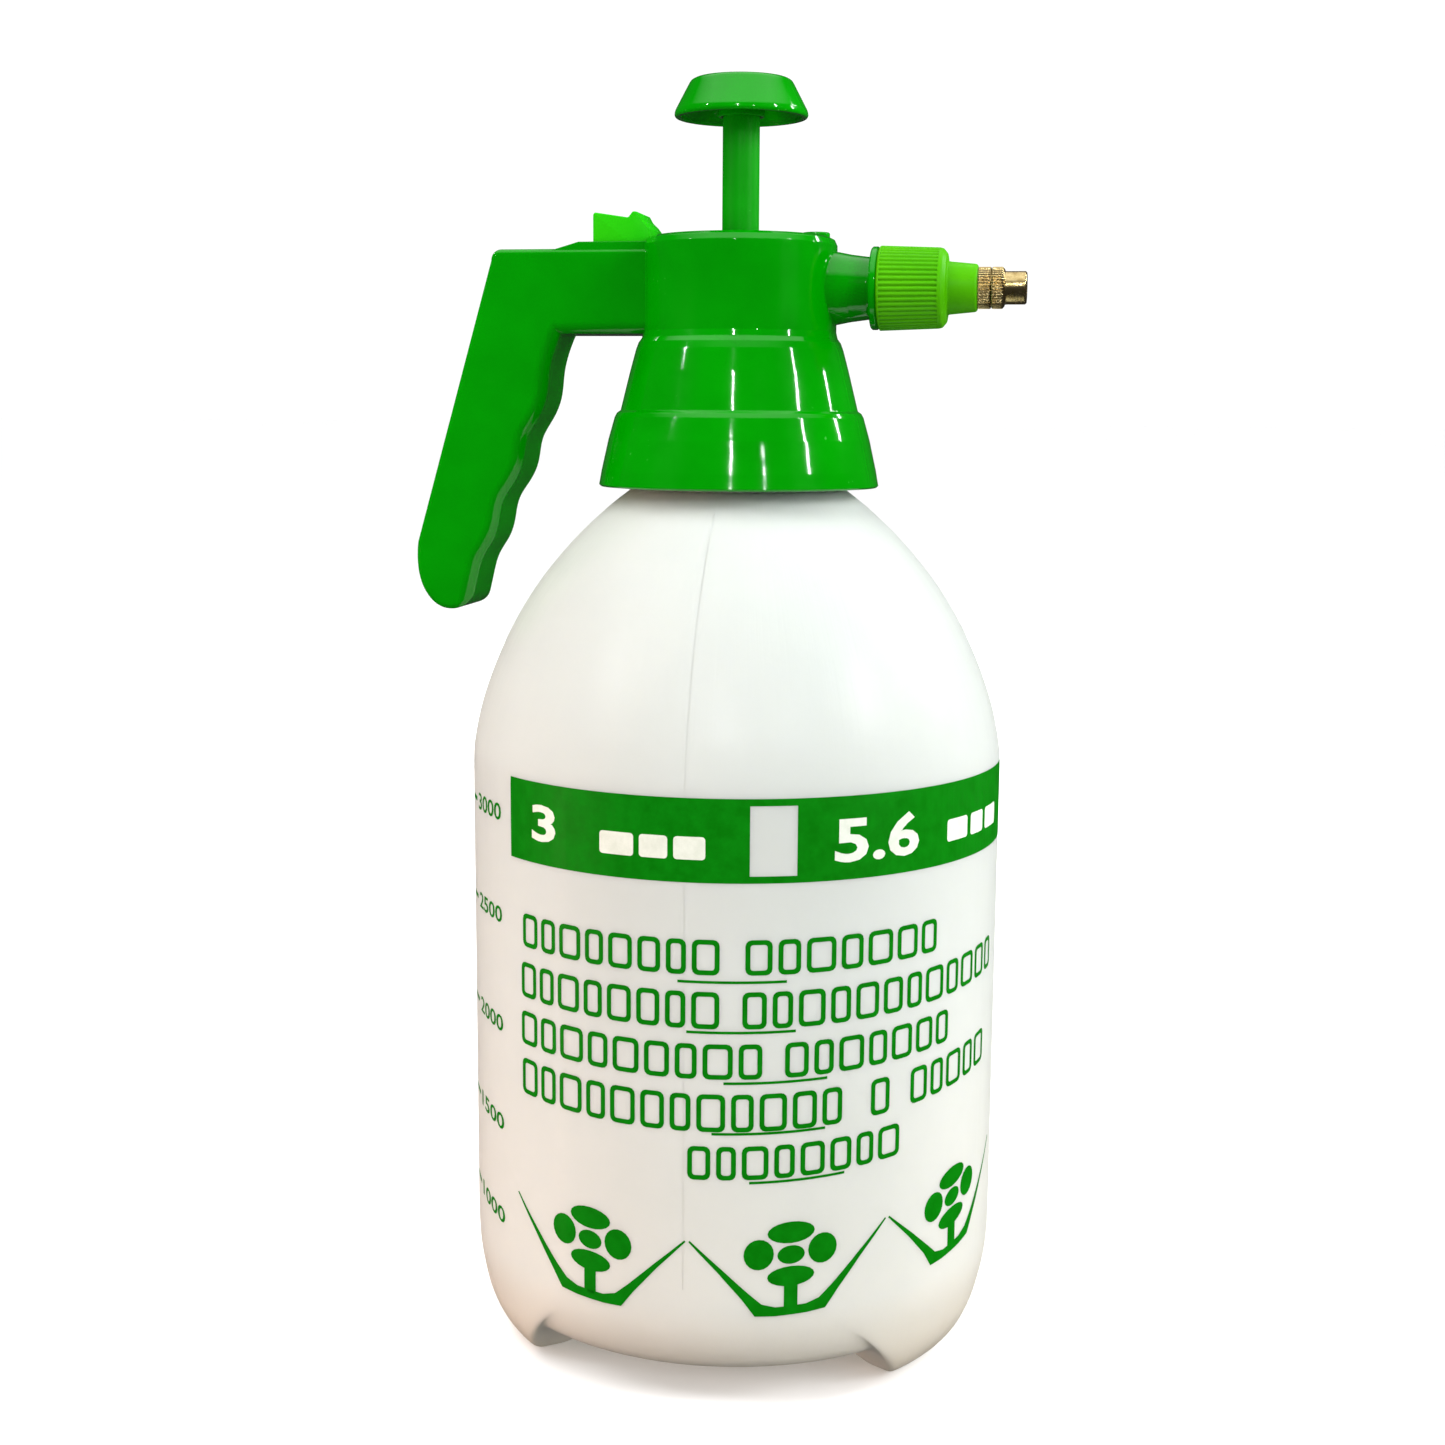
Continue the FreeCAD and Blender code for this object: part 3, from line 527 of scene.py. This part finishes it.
def bottleSkin(inset):
    # rows of points from the neck down to the middle of the underside
    upper = shoulderCurve + [Vector(spot) for spot in wallSteps]
    between, foot = smoothRow(bottle["heelBetweenFeet"], 4), smoothRow(bottle["heelAtFoot"], 4)
    count = bottle["segments"]
    rows = [[None] * count for step in range(len(upper) + len(between))]
    for column in range(count):
        turn = math.tau * column / count
        line = list(upper)
        for gapSpot, footSpot in zip(between, foot):
            share = footShare(turn, lerp(gapSpot.y, footSpot.y, 0.5))
            line.append(gapSpot.lerp(footSpot, share))
        for level, spot in enumerate(line):
            ahead = line[min(level + 1, len(line) - 1)] - line[max(level - 1, 0)]
            normal = Vector((-ahead.y, ahead.x)).normalized()
            radius = max(spot.x - normal.x * inset, 0.0)
            height = max(spot.y - normal.y * inset, bottle["standsOn"])
            rows[level][column] = at(radius * math.cos(turn), radius * math.sin(turn), height)
    return rows


def bottleShell():
    outer, inner = bottleSkin(bottle["skin"]), bottleSkin(bottle["wall"])
    count = bottle["segments"]
    for spot in outer[0] + inner[0]:
        spot.z = baseZ + bottle["neckTop"] * mm
    rows = list(reversed(inner)) + outer
    points = [spot for row in rows for spot in row]
    faces = []
    for level in range(len(rows) - 1):
        for column in range(count):
            beside = (column + 1) % count
            low, high = level * count, (level + 1) * count
            faces.append((low + column, low + beside, high + beside, high + column))
    shell = meshPiece("bottleShell", points, faces, finishes["bottlePlastic"], "bottle", node="bottle")


neckScrew = {
    "pitch": 5.5, "turns": 2.2, "low": 246.0, "neck": 28.35, "rise": 1.85, "steps": 180,
}


def neckThread():
    # the screw thread under the head: a trapezoid ridge that climbs round the neck and fades at its ends
    pitch, turns, low, steps = (neckScrew[label] for label in ("pitch", "turns", "low", "steps"))
    neck = neckScrew["neck"]
    points, faces = [], []
    for step in range(steps + 1):
        share = step / steps
        turn = math.tau * turns * share
        height = low + pitch * turns * share
        crest = neck + neckScrew["rise"] * smoothStep(min(share, 1 - share) * 22)
        for radius, aside in ((neck - 0.15, -1.3), (crest, -0.55), (crest, 0.55), (neck - 0.15, 1.3)):
            points.append(at(radius * math.cos(turn), radius * math.sin(turn), height + aside))
    for step in range(steps):
        base = step * 4
        for side in range(4):
            beside = (side + 1) % 4
            faces.append((base + side, base + beside, base + 4 + beside, base + 4 + side))
    faces.append((3, 2, 1, 0))
    faces.append(tuple(steps * 4 + side for side in range(4)))
    meshPiece("neckThreadRidge", points, faces, finishes["bottlePlastic"], "bottle")


def bottleRadiusAt(height):
    # the outer radius at a height on the wall or the shoulder
    for high, low in zip(shoulderCurve, shoulderCurve[1:]):
        if bottle["wallTop"] < height and low.y <= height <= high.y:
            return lerp(low.x, high.x, (height - low.y) / (high.y - low.y)) - bottle["skin"]
    return bottle["radius"] - bottle["skin"]


partingLine = {
    "half": 0.22, "out": 0.022, "buried": 0.12, "step": 6.0,
}


def partingLines():
    # the mould's parting line: a hair-thin ridge down both sides, from under the head to the heel
    half, buried = partingLine["half"], partingLine["buried"]
    wallRadius = bottle["radius"] - bottle["skin"]
    levels = [(spot.x - bottle["skin"], spot.y) for spot in smoothRow(bottle["shoulder"][3:], 5)]
    levels += [(wallRadius, bottle["wallTop"] - partingLine["step"] * step) for step in range(1, 22)]
    for label, side in (("Front", -1), ("Back", 1)):
        points, faces = [], []
        for radius, height in levels:
            for across, out in ((-half, -buried), (0.0, partingLine["out"]), (half, -buried)):
                points.append(at(across, side * (radius + out), height))
        for step in range(len(levels) - 1):
            base = step * 3
            for edge in range(3):
                beside = (edge + 1) % 3
                faces.append((base + edge, base + beside, base + 3 + beside, base + 3 + edge))
        faces.append((2, 1, 0))
        faces.append(tuple((len(levels) - 1) * 3 + edge for edge in range(3)))
        meshPiece("partingLine" + label, points, faces, finishes["bottlePlastic"], "bottle")


bottleShell()
neckThread()
partingLines()
print("bottle made")


# print on the bottle

film = {
    "facing": 10.0,  # how far the print's middle is turned from the side that faces -Y, towards +X
    "thick": 0.035, "buried": 0.03, "strip": 2.2, "shoulderCuts": (159.0, 161.0, 163.0, 165.0, 166.0, 167.0),
}
perDegree = math.radians(bottle["radius"])


def rowSag(angle, height):
    # the rows of print climb a little away from the middle, the more so the lower they are
    return 0.000014 * max(150.0 - height, 0.0) * (angle + 10.0) ** 2


def wrapped(name, work, finish, lift=0.0):
    # cuts a flat print into narrow strips, thickens it to a film and lays it round the bottle
    left = min(vert.co.x for vert in work.verts)
    right = max(vert.co.x for vert in work.verts)
    for step in range(1, int((right - left) / film["strip"]) + 1):
        everything = list(work.verts) + list(work.edges) + list(work.faces)
        edge = (left + film["strip"] * step, 0, 0)
        bmesh.ops.bisect_plane(work, geom=everything, plane_co=edge, plane_no=(1, 0, 0))
    for height in film["shoulderCuts"]:
        everything = list(work.verts) + list(work.edges) + list(work.faces)
        bmesh.ops.bisect_plane(work, geom=everything, plane_co=(0, height, 0), plane_no=(0, 1, 0))
    for face in work.faces:
        if face.normal.z < 0:
            face.normal_flip()
    extra = bmesh.ops.extrude_face_region(work, geom=list(work.faces))
    raised = {item for item in extra["geom"] if isinstance(item, bmesh.types.BMVert)}
    for vert in work.verts:
        angle = vert.co.x / perDegree
        height = vert.co.y + rowSag(angle, vert.co.y)
        turn = math.radians(angle + film["facing"])
        out = bottleRadiusAt(height) + lift + (film["thick"] if vert in raised else -film["buried"])
        vert.co = at(out * math.sin(turn), -out * math.cos(turn), height)
    mesh = bpy.data.meshes.new(name)
    work.to_mesh(mesh)
    work.free()
    tidyMesh(mesh)
    for polygon in mesh.polygons:
        polygon.use_smooth = False
    mesh.materials.append(finishes[finish])
    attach(link(bpy.data.objects.new(name, mesh)), "bottle")


def flatShape(work, outline):
    # one flat face from (degrees, height) corners
    work.faces.new([work.verts.new((angle * perDegree, height, 0)) for angle, height in outline])


def rectangle(work, left, right, low, high):
    flatShape(work, [(left, low), (right, low), (right, high), (left, high)])


def roundedBar(work, left, right, low, high, bend):
    # a plain bar with round corners
    corners = []
    turnBend = bend / perDegree
    for cx, cy, start in ((right - turnBend, low + bend, 270), (right - turnBend, high - bend, 0),
                          (left + turnBend, high - bend, 90), (left + turnBend, low + bend, 180)):
        for step in range(5):
            turn = math.radians(start + 22.5 * step)
            corners.append((cx + turnBend * math.cos(turn), cy + bend * math.sin(turn)))
    flatShape(work, corners)


def outlinedBlock(work, left, right, low, high, stroke=1.25, bend=1.6):
    # an open block with round corners, drawn with one even stroke
    rings = []
    for inset in (0.0, stroke):
        soft = bend - 0.7 * inset
        ring = []
        for cx, cy, start in ((right, low, 270), (right, high, 0), (left, high, 90), (left, low, 180)):
            inX = -1 if cx == right else 1
            inY = -1 if cy == high else 1
            for step in range(4):
                turn = math.radians(start + 30 * step)
                x = cx * perDegree + inX * (inset + soft) + soft * math.cos(turn)
                y = cy + inY * (inset + soft) + soft * math.sin(turn)
                ring.append(work.verts.new((x, y, 0)))
        rings.append(ring)
    outer, inner = rings
    for step in range(len(outer)):
        ahead = (step + 1) % len(outer)
        work.faces.new((outer[step], outer[ahead], inner[ahead], inner[step]))


def numberShape(work, words, left, right, low, tall, bold):
    # a number in the built-in typeface, fattened and stretched to reach from left to right, in degrees
    text = bpy.data.curves.new(words, "FONT")
    text.body = words
    text.resolution_u = 3
    text.offset = bold
    holder = link(bpy.data.objects.new(words, text))
    mesh = bpy.data.meshes.new_from_object(holder.evaluated_get(bpy.context.evaluated_depsgraph_get()))
    bpy.data.objects.remove(holder)
    xs = [vert.co.x for vert in mesh.vertices]
    ys = [vert.co.y for vert in mesh.vertices]
    wide = (right - left) * perDegree / (max(xs) - min(xs))
    stretch = Matrix.Diagonal((wide, tall / (max(ys) - min(ys)), 1, 1))
    mesh.transform(Matrix.Translation((left * perDegree, low, 0)) @ stretch
                   @ Matrix.Translation((-min(xs), -min(ys), 0)))
    work.from_mesh(mesh)
    bpy.data.meshes.remove(mesh)


band = {
    "low": 146.8, "high": 168.1, "left": -53.2, "right": 97.0, "window": (2.7, 12.0, 148.6, 166.3),
    "numbers": (("3", -45.7, -38.8, 152.8, 9.6), ("5.6", 19.6, 39.4, 151.2, 11.4)),
    "blocks": ((-27.8, -20.4), (-19.2, -13.4), (-12.2, -5.9), (48.0, 55.5), (57.0, 63.0), (64.5, 72.0)),
}


def printBand():
    # a broad band with an open window, and the pale marks on it
    work = bmesh.new()
    low, high = band["low"], band["high"]
    windowLeft, windowRight, windowLow, windowHigh = band["window"]
    rectangle(work, band["left"], windowLeft, low, high)
    rectangle(work, windowLeft, windowRight, low, windowLow)
    rectangle(work, windowLeft, windowRight, windowHigh, high)
    rectangle(work, windowRight, band["right"], low, high)
    bmesh.ops.remove_doubles(work, verts=work.verts, dist=0.001)
    wrapped("printBand", work, "printGreen")
    work = bmesh.new()
    for words, left, right, foot, tall in band["numbers"]:
        numberShape(work, words, left, right, foot, tall, 0.025)
    for left, right in band["blocks"]:
        roundedBar(work, left, right, 152.6, 158.4, 0.9)
    wrapped("printBandMarks", work, "printPale", lift=0.02)


scale = {
    "heights": (157.5, 129.0, 98.0, 69.5, 42.0), "top": 3000, "step": 500, "digits": 4.6,
    "tick": (-79.0, -74.0),
}


def printScale():
    # level marks with plain numbers, one every half litre
    work = bmesh.new()
    digits = scale["digits"]
    for step, height in enumerate(scale["heights"]):
        label = str(scale["top"] - scale["step"] * step)
        numberShape(work, label, -72.0, -57.5, height - digits / 2, digits, 0.012)
        rectangle(work, *scale["tick"], height - 0.6, height + 0.6)
    wrapped("printScale", work, "printGreen")


rows = {
    # each row's left and right in degrees, low and high in millimetres, and how many blocks
    "words": ((-49.0, -3.0, 123.3, 132.4, 8), (2.0, 45.3, 123.3, 132.4, 7), (-49.6, -3.0, 109.4, 119.0, 8),
              (1.5, 70.8, 109.4, 119.0, 12), (-49.7, 5.5, 96.3, 105.5, 9), (10.0, 49.8, 96.3, 105.5, 7),
              (-49.5, 22.0, 82.5, 92.4, 12), (28.5, 33.0, 82.5, 92.4, 1), (38.5, 66.8, 82.5, 92.4, 5),
              (-9.2, 35.7, 69.8, 78.7, 8)),
    "underlines": ((-11.3, 10.2, 121.5), (-9.5, 12.1, 108.5), (-2.1, 18.7, 95.3), (-4.4, 18.4, 82.0),
                   (3.1, 22.7, 69.0)),
    "widths": (1.0, 0.85, 1.15, 0.9, 1.1), "gap": 1.15,
}


def printRows():
    # open blocks stand in for the rows of words
    work = bmesh.new()
    widths, gap = rows["widths"], rows["gap"]
    for left, right, low, high, count in rows["words"]:
        shares = [widths[step % len(widths)] for step in range(count)]
        unit = (right - left - gap * (count - 1)) / sum(shares)
        start = left
        for share in shares:
            outlinedBlock(work, start, start + unit * share, low, high)
            start += unit * share + gap
    for left, right, height in rows["underlines"]:
        rectangle(work, left, right, height - 0.35, height + 0.35)
    wrapped("printRows", work, "printGreen")


def strokeLine(work, spots):
    # a line through (degrees, height, width) corners, with mitred joints
    flat = [Vector((angle * perDegree, height)) for angle, height, width in spots]
    sides = []
    for index, spot in enumerate(flat):
        before = (spot - flat[index - 1]).normalized() if index else (flat[1] - spot).normalized()
        after = (flat[index + 1] - spot).normalized() if index < len(flat) - 1 else before
        along = (before + after).normalized()
        across = Vector((-along.y, along.x)) * (spots[index][2] / 2 / max(along.dot(before), 0.6))
        sides.append((work.verts.new((*(spot + across), 0)), work.verts.new((*(spot - across), 0))))
    for (upA, downA), (upB, downB) in zip(sides, sides[1:]):
        work.faces.new((upA, downA, downB, upB))


def ovalShape(work, centre, height, wide, tall):
    turns = [math.tau * step / 20 for step in range(20)]
    flatShape(work, [(centre + wide * math.cos(turn) / perDegree, height + tall * math.sin(turn))
                     for turn in turns])


flowers = {
    "places": ((-30.4, -51.5, -9.6), (11.7, -8.8, 32.6), (53.0, 33.4, 74.5)),  # middle, left end, right end
    # across, height, half width, half height of the heart and the petals
    "ovals": ((0, 49.0, 3.6, 2.5), (0, 55.0, 6.2, 2.9), (8.4, 49.6, 3.9, 4.1), (-8.4, 49.6, 3.9, 4.1),
              (0, 43.2, 6.2, 2.7)),
    "stem": 2.8,
}


def printFlowers():
    # a plain flower in a wide V, three times
    work = bmesh.new()
    for centre, left, right in flowers["places"]:
        line = [(left, 53.2, 0.5), (lerp(left, centre, 0.3), 45.5, 1.3),
                (lerp(left, centre, 0.55), 38.5, 2.3), (centre - 6.6, 34.6, 3.4),
                (centre - 3.2, 33.9, 2.4), (centre + 3.2, 33.9, 2.4),
                (centre + 6.6, 34.6, 3.4), (lerp(right, centre, 0.55), 38.5, 2.3),
                (lerp(right, centre, 0.3), 45.5, 1.3), (right, 53.2, 0.5)]
        strokeLine(work, line)
        for across, height, wide, tall in flowers["ovals"]:
            ovalShape(work, centre + across / perDegree, height, wide, tall)
        rectangle(work, centre - flowers["stem"] / 2, centre + flowers["stem"] / 2, 34.4, 43.2)
    wrapped("printFlowers", work, "printGreen")


printBand()
printScale()
printRows()
printFlowers()
print("print made")


# thumb button

button = {
    "side": [(-39.1, 302.2), (-39.1, 314.6), (-38.6, 315.1), (-29.4, 313.7), (-28.1, 315.3), (-26.9, 315.2),
             (-25.9, 313.4), (-24.4, 312.0), (-23.4, 310.7), (-23.3, 302.6)],
    "halfWidth": 8.2, "soft": 0.55,
}


def thumbButton():
    # the side outline pushed across, with a bevel round every edge
    outline, half = button["side"], button["halfWidth"]
    count = len(outline)
    points = [at(x, half * side, z) for side in (-1, 1) for x, z in outline]
    faces = [tuple(range(count)), tuple(reversed(range(count, 2 * count)))]
    faces += [(step, step + count, (step + 1) % count + count, (step + 1) % count) for step in range(count)]
    work = bmesh.new()
    corners = [work.verts.new(spot) for spot in points]
    for face in faces:
        work.faces.new([corners[index] for index in face])
    bmesh.ops.recalc_face_normals(work, faces=work.faces)
    bmesh.ops.bevel(work, geom=list(work.edges) + list(work.verts), offset=button["soft"] * mm, segments=4,
                    profile=0.5, affect="EDGES", clamp_overlap=True)
    mesh = bpy.data.meshes.new("thumbButtonCap")
    work.to_mesh(mesh)
    work.free()
    tidyMesh(mesh)
    mesh.materials.append(finishes["buttonGreen"])
    piece = link(bpy.data.objects.new("thumbButtonCap", mesh))
    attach(piece, "button")
    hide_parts("thumb_button")


thumbButton()
print("thumb button made")


# CAD pieces that stay, with their finishes

nodeFinishes = {
    "head_housing": "headGreen", "handle_back_strip": "headGreen", "rod_guide": "headGreen",
    "release_knob": "knobGreen", "release_bush": "headGreen",
    "pump_barrel": "naturalPlastic", "foot_valve_cage": "naturalPlastic", "piston_head": "naturalPlastic",
    "valve_body": "naturalPlastic", "dip_strainer": "naturalPlastic", "nozzle_filter": "naturalPlastic",
    "swirl_core": "naturalPlastic", "dip_tube": "clearTube", "delivery_hose": "clearTube",
    "neck_gasket": "blackRubber", "barrel_seal": "blackRubber", "foot_valve_disc": "blackRubber",
    "rod_wiper": "blackRubber", "piston_seal": "blackRubber", "valve_seal": "blackRubber",
    "dip_tube_grommet": "blackRubber", "nozzle_washer": "blackRubber", "tip_seal": "blackRubber",
    "release_seal": "blackRubber", "valve_cap": "brassBright", "valve_stem": "brassBright",
    "valve_spring": "brightSteel", "release_spring": "brightSteel", "button_pin": "brightSteel",
    "piston_nut": "brightSteel",
}
for nodeName, finish in nodeFinishes.items():
    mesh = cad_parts[nodeName].data
    mesh.materials.clear()
    mesh.materials.append(finishes[finish])
print("CAD finishes set")


# floor, light and camera

floor = {
    "half": 40.0, "glow": 0.07, "dark": (0.93, 0.93, 0.93, 1), "light": (0.95, 0.95, 0.95, 1),
}


def floorMaterial():
    material, tree, shader, where = startMaterial("paleFloor", specular=0.05, Emission_Strength=floor["glow"])
    mottle = spread(tree, noise(tree, where, 3.0, 3.0), 0.3, 0.7)
    tree.links.new(blendColour(tree, mottle, floor["dark"], floor["light"]), shader.inputs["Base Color"])
    tree.links.new(spread(tree, mottle, 0.0, 1.0, 0.7, 0.8), shader.inputs["Roughness"])
    return material


def floorPlane():
    mesh = bpy.data.meshes.new("studioFloor")
    half = floor["half"]
    corners = [(-half, -half, 0), (half, -half, 0), (half, half, 0), (-half, half, 0)]
    mesh.from_pydata(corners, [], [(0, 1, 2, 3)])
    mesh.materials.append(floorMaterial())
    ground = link(bpy.data.objects.new("studioFloor", mesh))
    ground.visible_glossy = False
    ground.visible_diffuse = False


sky = {
    # how bright it is low and high, to soft light; low and high, to reflections; and to the camera
    "soft": (0.40, 0.38), "mirrored": (0.03, 1.2), "seen": 1.06,
}


def softWorld():
    world = bpy.data.worlds.new("softWorld")
    bpy.context.scene.world = world
    world.use_nodes = True
    tree = world.node_tree
    tree.nodes.clear()
    path = addNode(tree, "ShaderNodeLightPath")
    direction = addNode(tree, "ShaderNodeTexCoord").outputs["Generated"]
    upward = addNode(tree, "ShaderNodeSeparateXYZ", {"Vector": direction}).outputs["Z"]
    strength = spread(tree, upward, -0.4, 0.5, *sky["soft"])
    mirrored = spread(tree, upward, 0.60, 0.80, *sky["mirrored"])
    for ray, level in (("Is Glossy Ray", mirrored), ("Is Camera Ray", sky["seen"])):
        change = maths(tree, "SUBTRACT", level, strength)
        strength = maths(tree, "MULTIPLY_ADD", path.outputs[ray], change, strength)
    shine = addNode(tree, "ShaderNodeBackground", {"Color": (1, 1, 1, 1), "Strength": strength})
    addNode(tree, "ShaderNodeOutputWorld", {"Surface": shine.outputs[0]})


def softSun(name, power, spreadDegrees, fromWhere):
    # broad even light that keeps the floor as bright far away as near the sprayer
    lamp = bpy.data.lights.new(name, "SUN")
    lamp.energy = power
    lamp.angle = math.radians(spreadDegrees)
    holder = link(bpy.data.objects.new(name, lamp))
    holder.rotation_euler = Vector(fromWhere).to_track_quat("Z", "Y").to_euler()
    holder.visible_glossy = False


def softBox(name, place, power, size, aim=(0, 0, 180), tint=(1, 1, 1), mirrored=False):
    lamp = bpy.data.lights.new(name, "AREA")
    lamp.shape = "RECTANGLE"
    lamp.size, lamp.size_y = size
    lamp.energy = power
    lamp.color = tint
    holder = link(bpy.data.objects.new(name, lamp))
    holder.location = at(*place)
    holder.rotation_euler = (at(*aim) - holder.location).to_track_quat("-Z", "Y").to_euler()
    holder.visible_glossy = mirrored


camera = {
    "distance": 563.7, "height": 262.6, "turn": 10.0, "down": 8.75, "aside": 0.41, "roll": 0.37,
    "lens": 50.6, "sensor": 36.0,
}


def studioCamera():
    # stands a little round towards the nozzle and looks slightly down
    distance, turn = camera["distance"], math.radians(camera["turn"])
    lens = bpy.data.cameras.new("studioCamera")
    lens.lens = camera["lens"]
    lens.sensor_width = camera["sensor"]
    holder = link(bpy.data.objects.new("studioCamera", lens))
    holder.location = at(distance * math.sin(turn), -distance * math.cos(turn), camera["height"])
    heading = Matrix.Rotation(turn + math.radians(camera["aside"]), 4, "Z")
    tilt = Matrix.Rotation(math.radians(90 - camera["down"]), 4, "X")
    roll = Matrix.Rotation(math.radians(camera["roll"]), 4, "Z")
    holder.rotation_euler = (heading @ tilt @ roll).to_euler()
    bpy.context.scene.camera = holder


lamps = {
    "sun": (2.2, 48.0, (-0.3, -0.3, 1.0)),
    # where each soft box stands, its power and its width and height
    "left": ((-1250, -900, 1150), 7.5, (0.9, 1.3)),
    "right": ((1350, -500, 700), 20.0, (0.7, 1.3)),
    "back": ((-500, 1450, 700), 18.0, (1.2, 1.2)),
    "backRight": ((1150, 1000, 500), 14.0, (0.9, 1.2)),
    "warm": ((-800, -420, 60), 6.5, (0.5, 0.5)),
    # thin tubes for the glints: turn round the bottle, height, power and length
    "tubes": ((-56, 1080, 2.2, 0.20), (3, 860, 2.6, 0.32), (31, 760, 1.2, 0.14), (72, 930, 3.6, 0.42),
              (112, 840, 3.0, 0.30), (128, 1120, 3.0, 0.34)),
    "tubeReach": 1380, "tubeWidth": 0.022,
}

floorPlane()
softWorld()
softSun("ceilingLight", *lamps["sun"])
for label in ("left", "right", "back", "backRight"):
    softBox(label + "SoftBox", *lamps[label])
for step, (turn, height, power, tall) in enumerate(lamps["tubes"]):
    around, reach = math.radians(turn), lamps["tubeReach"]
    softBox("tubeLight" + str(step), (reach * math.sin(around), -reach * math.cos(around), height), power,
            (lamps["tubeWidth"], tall), aim=(0, 0, 250), mirrored=True)
softBox("warmFill", *lamps["warm"], aim=(0, 0, 60), tint=(1.0, 0.66, 0.54))
studioCamera()
bpy.context.scene.view_settings.view_transform = "Standard"
print("stage made")
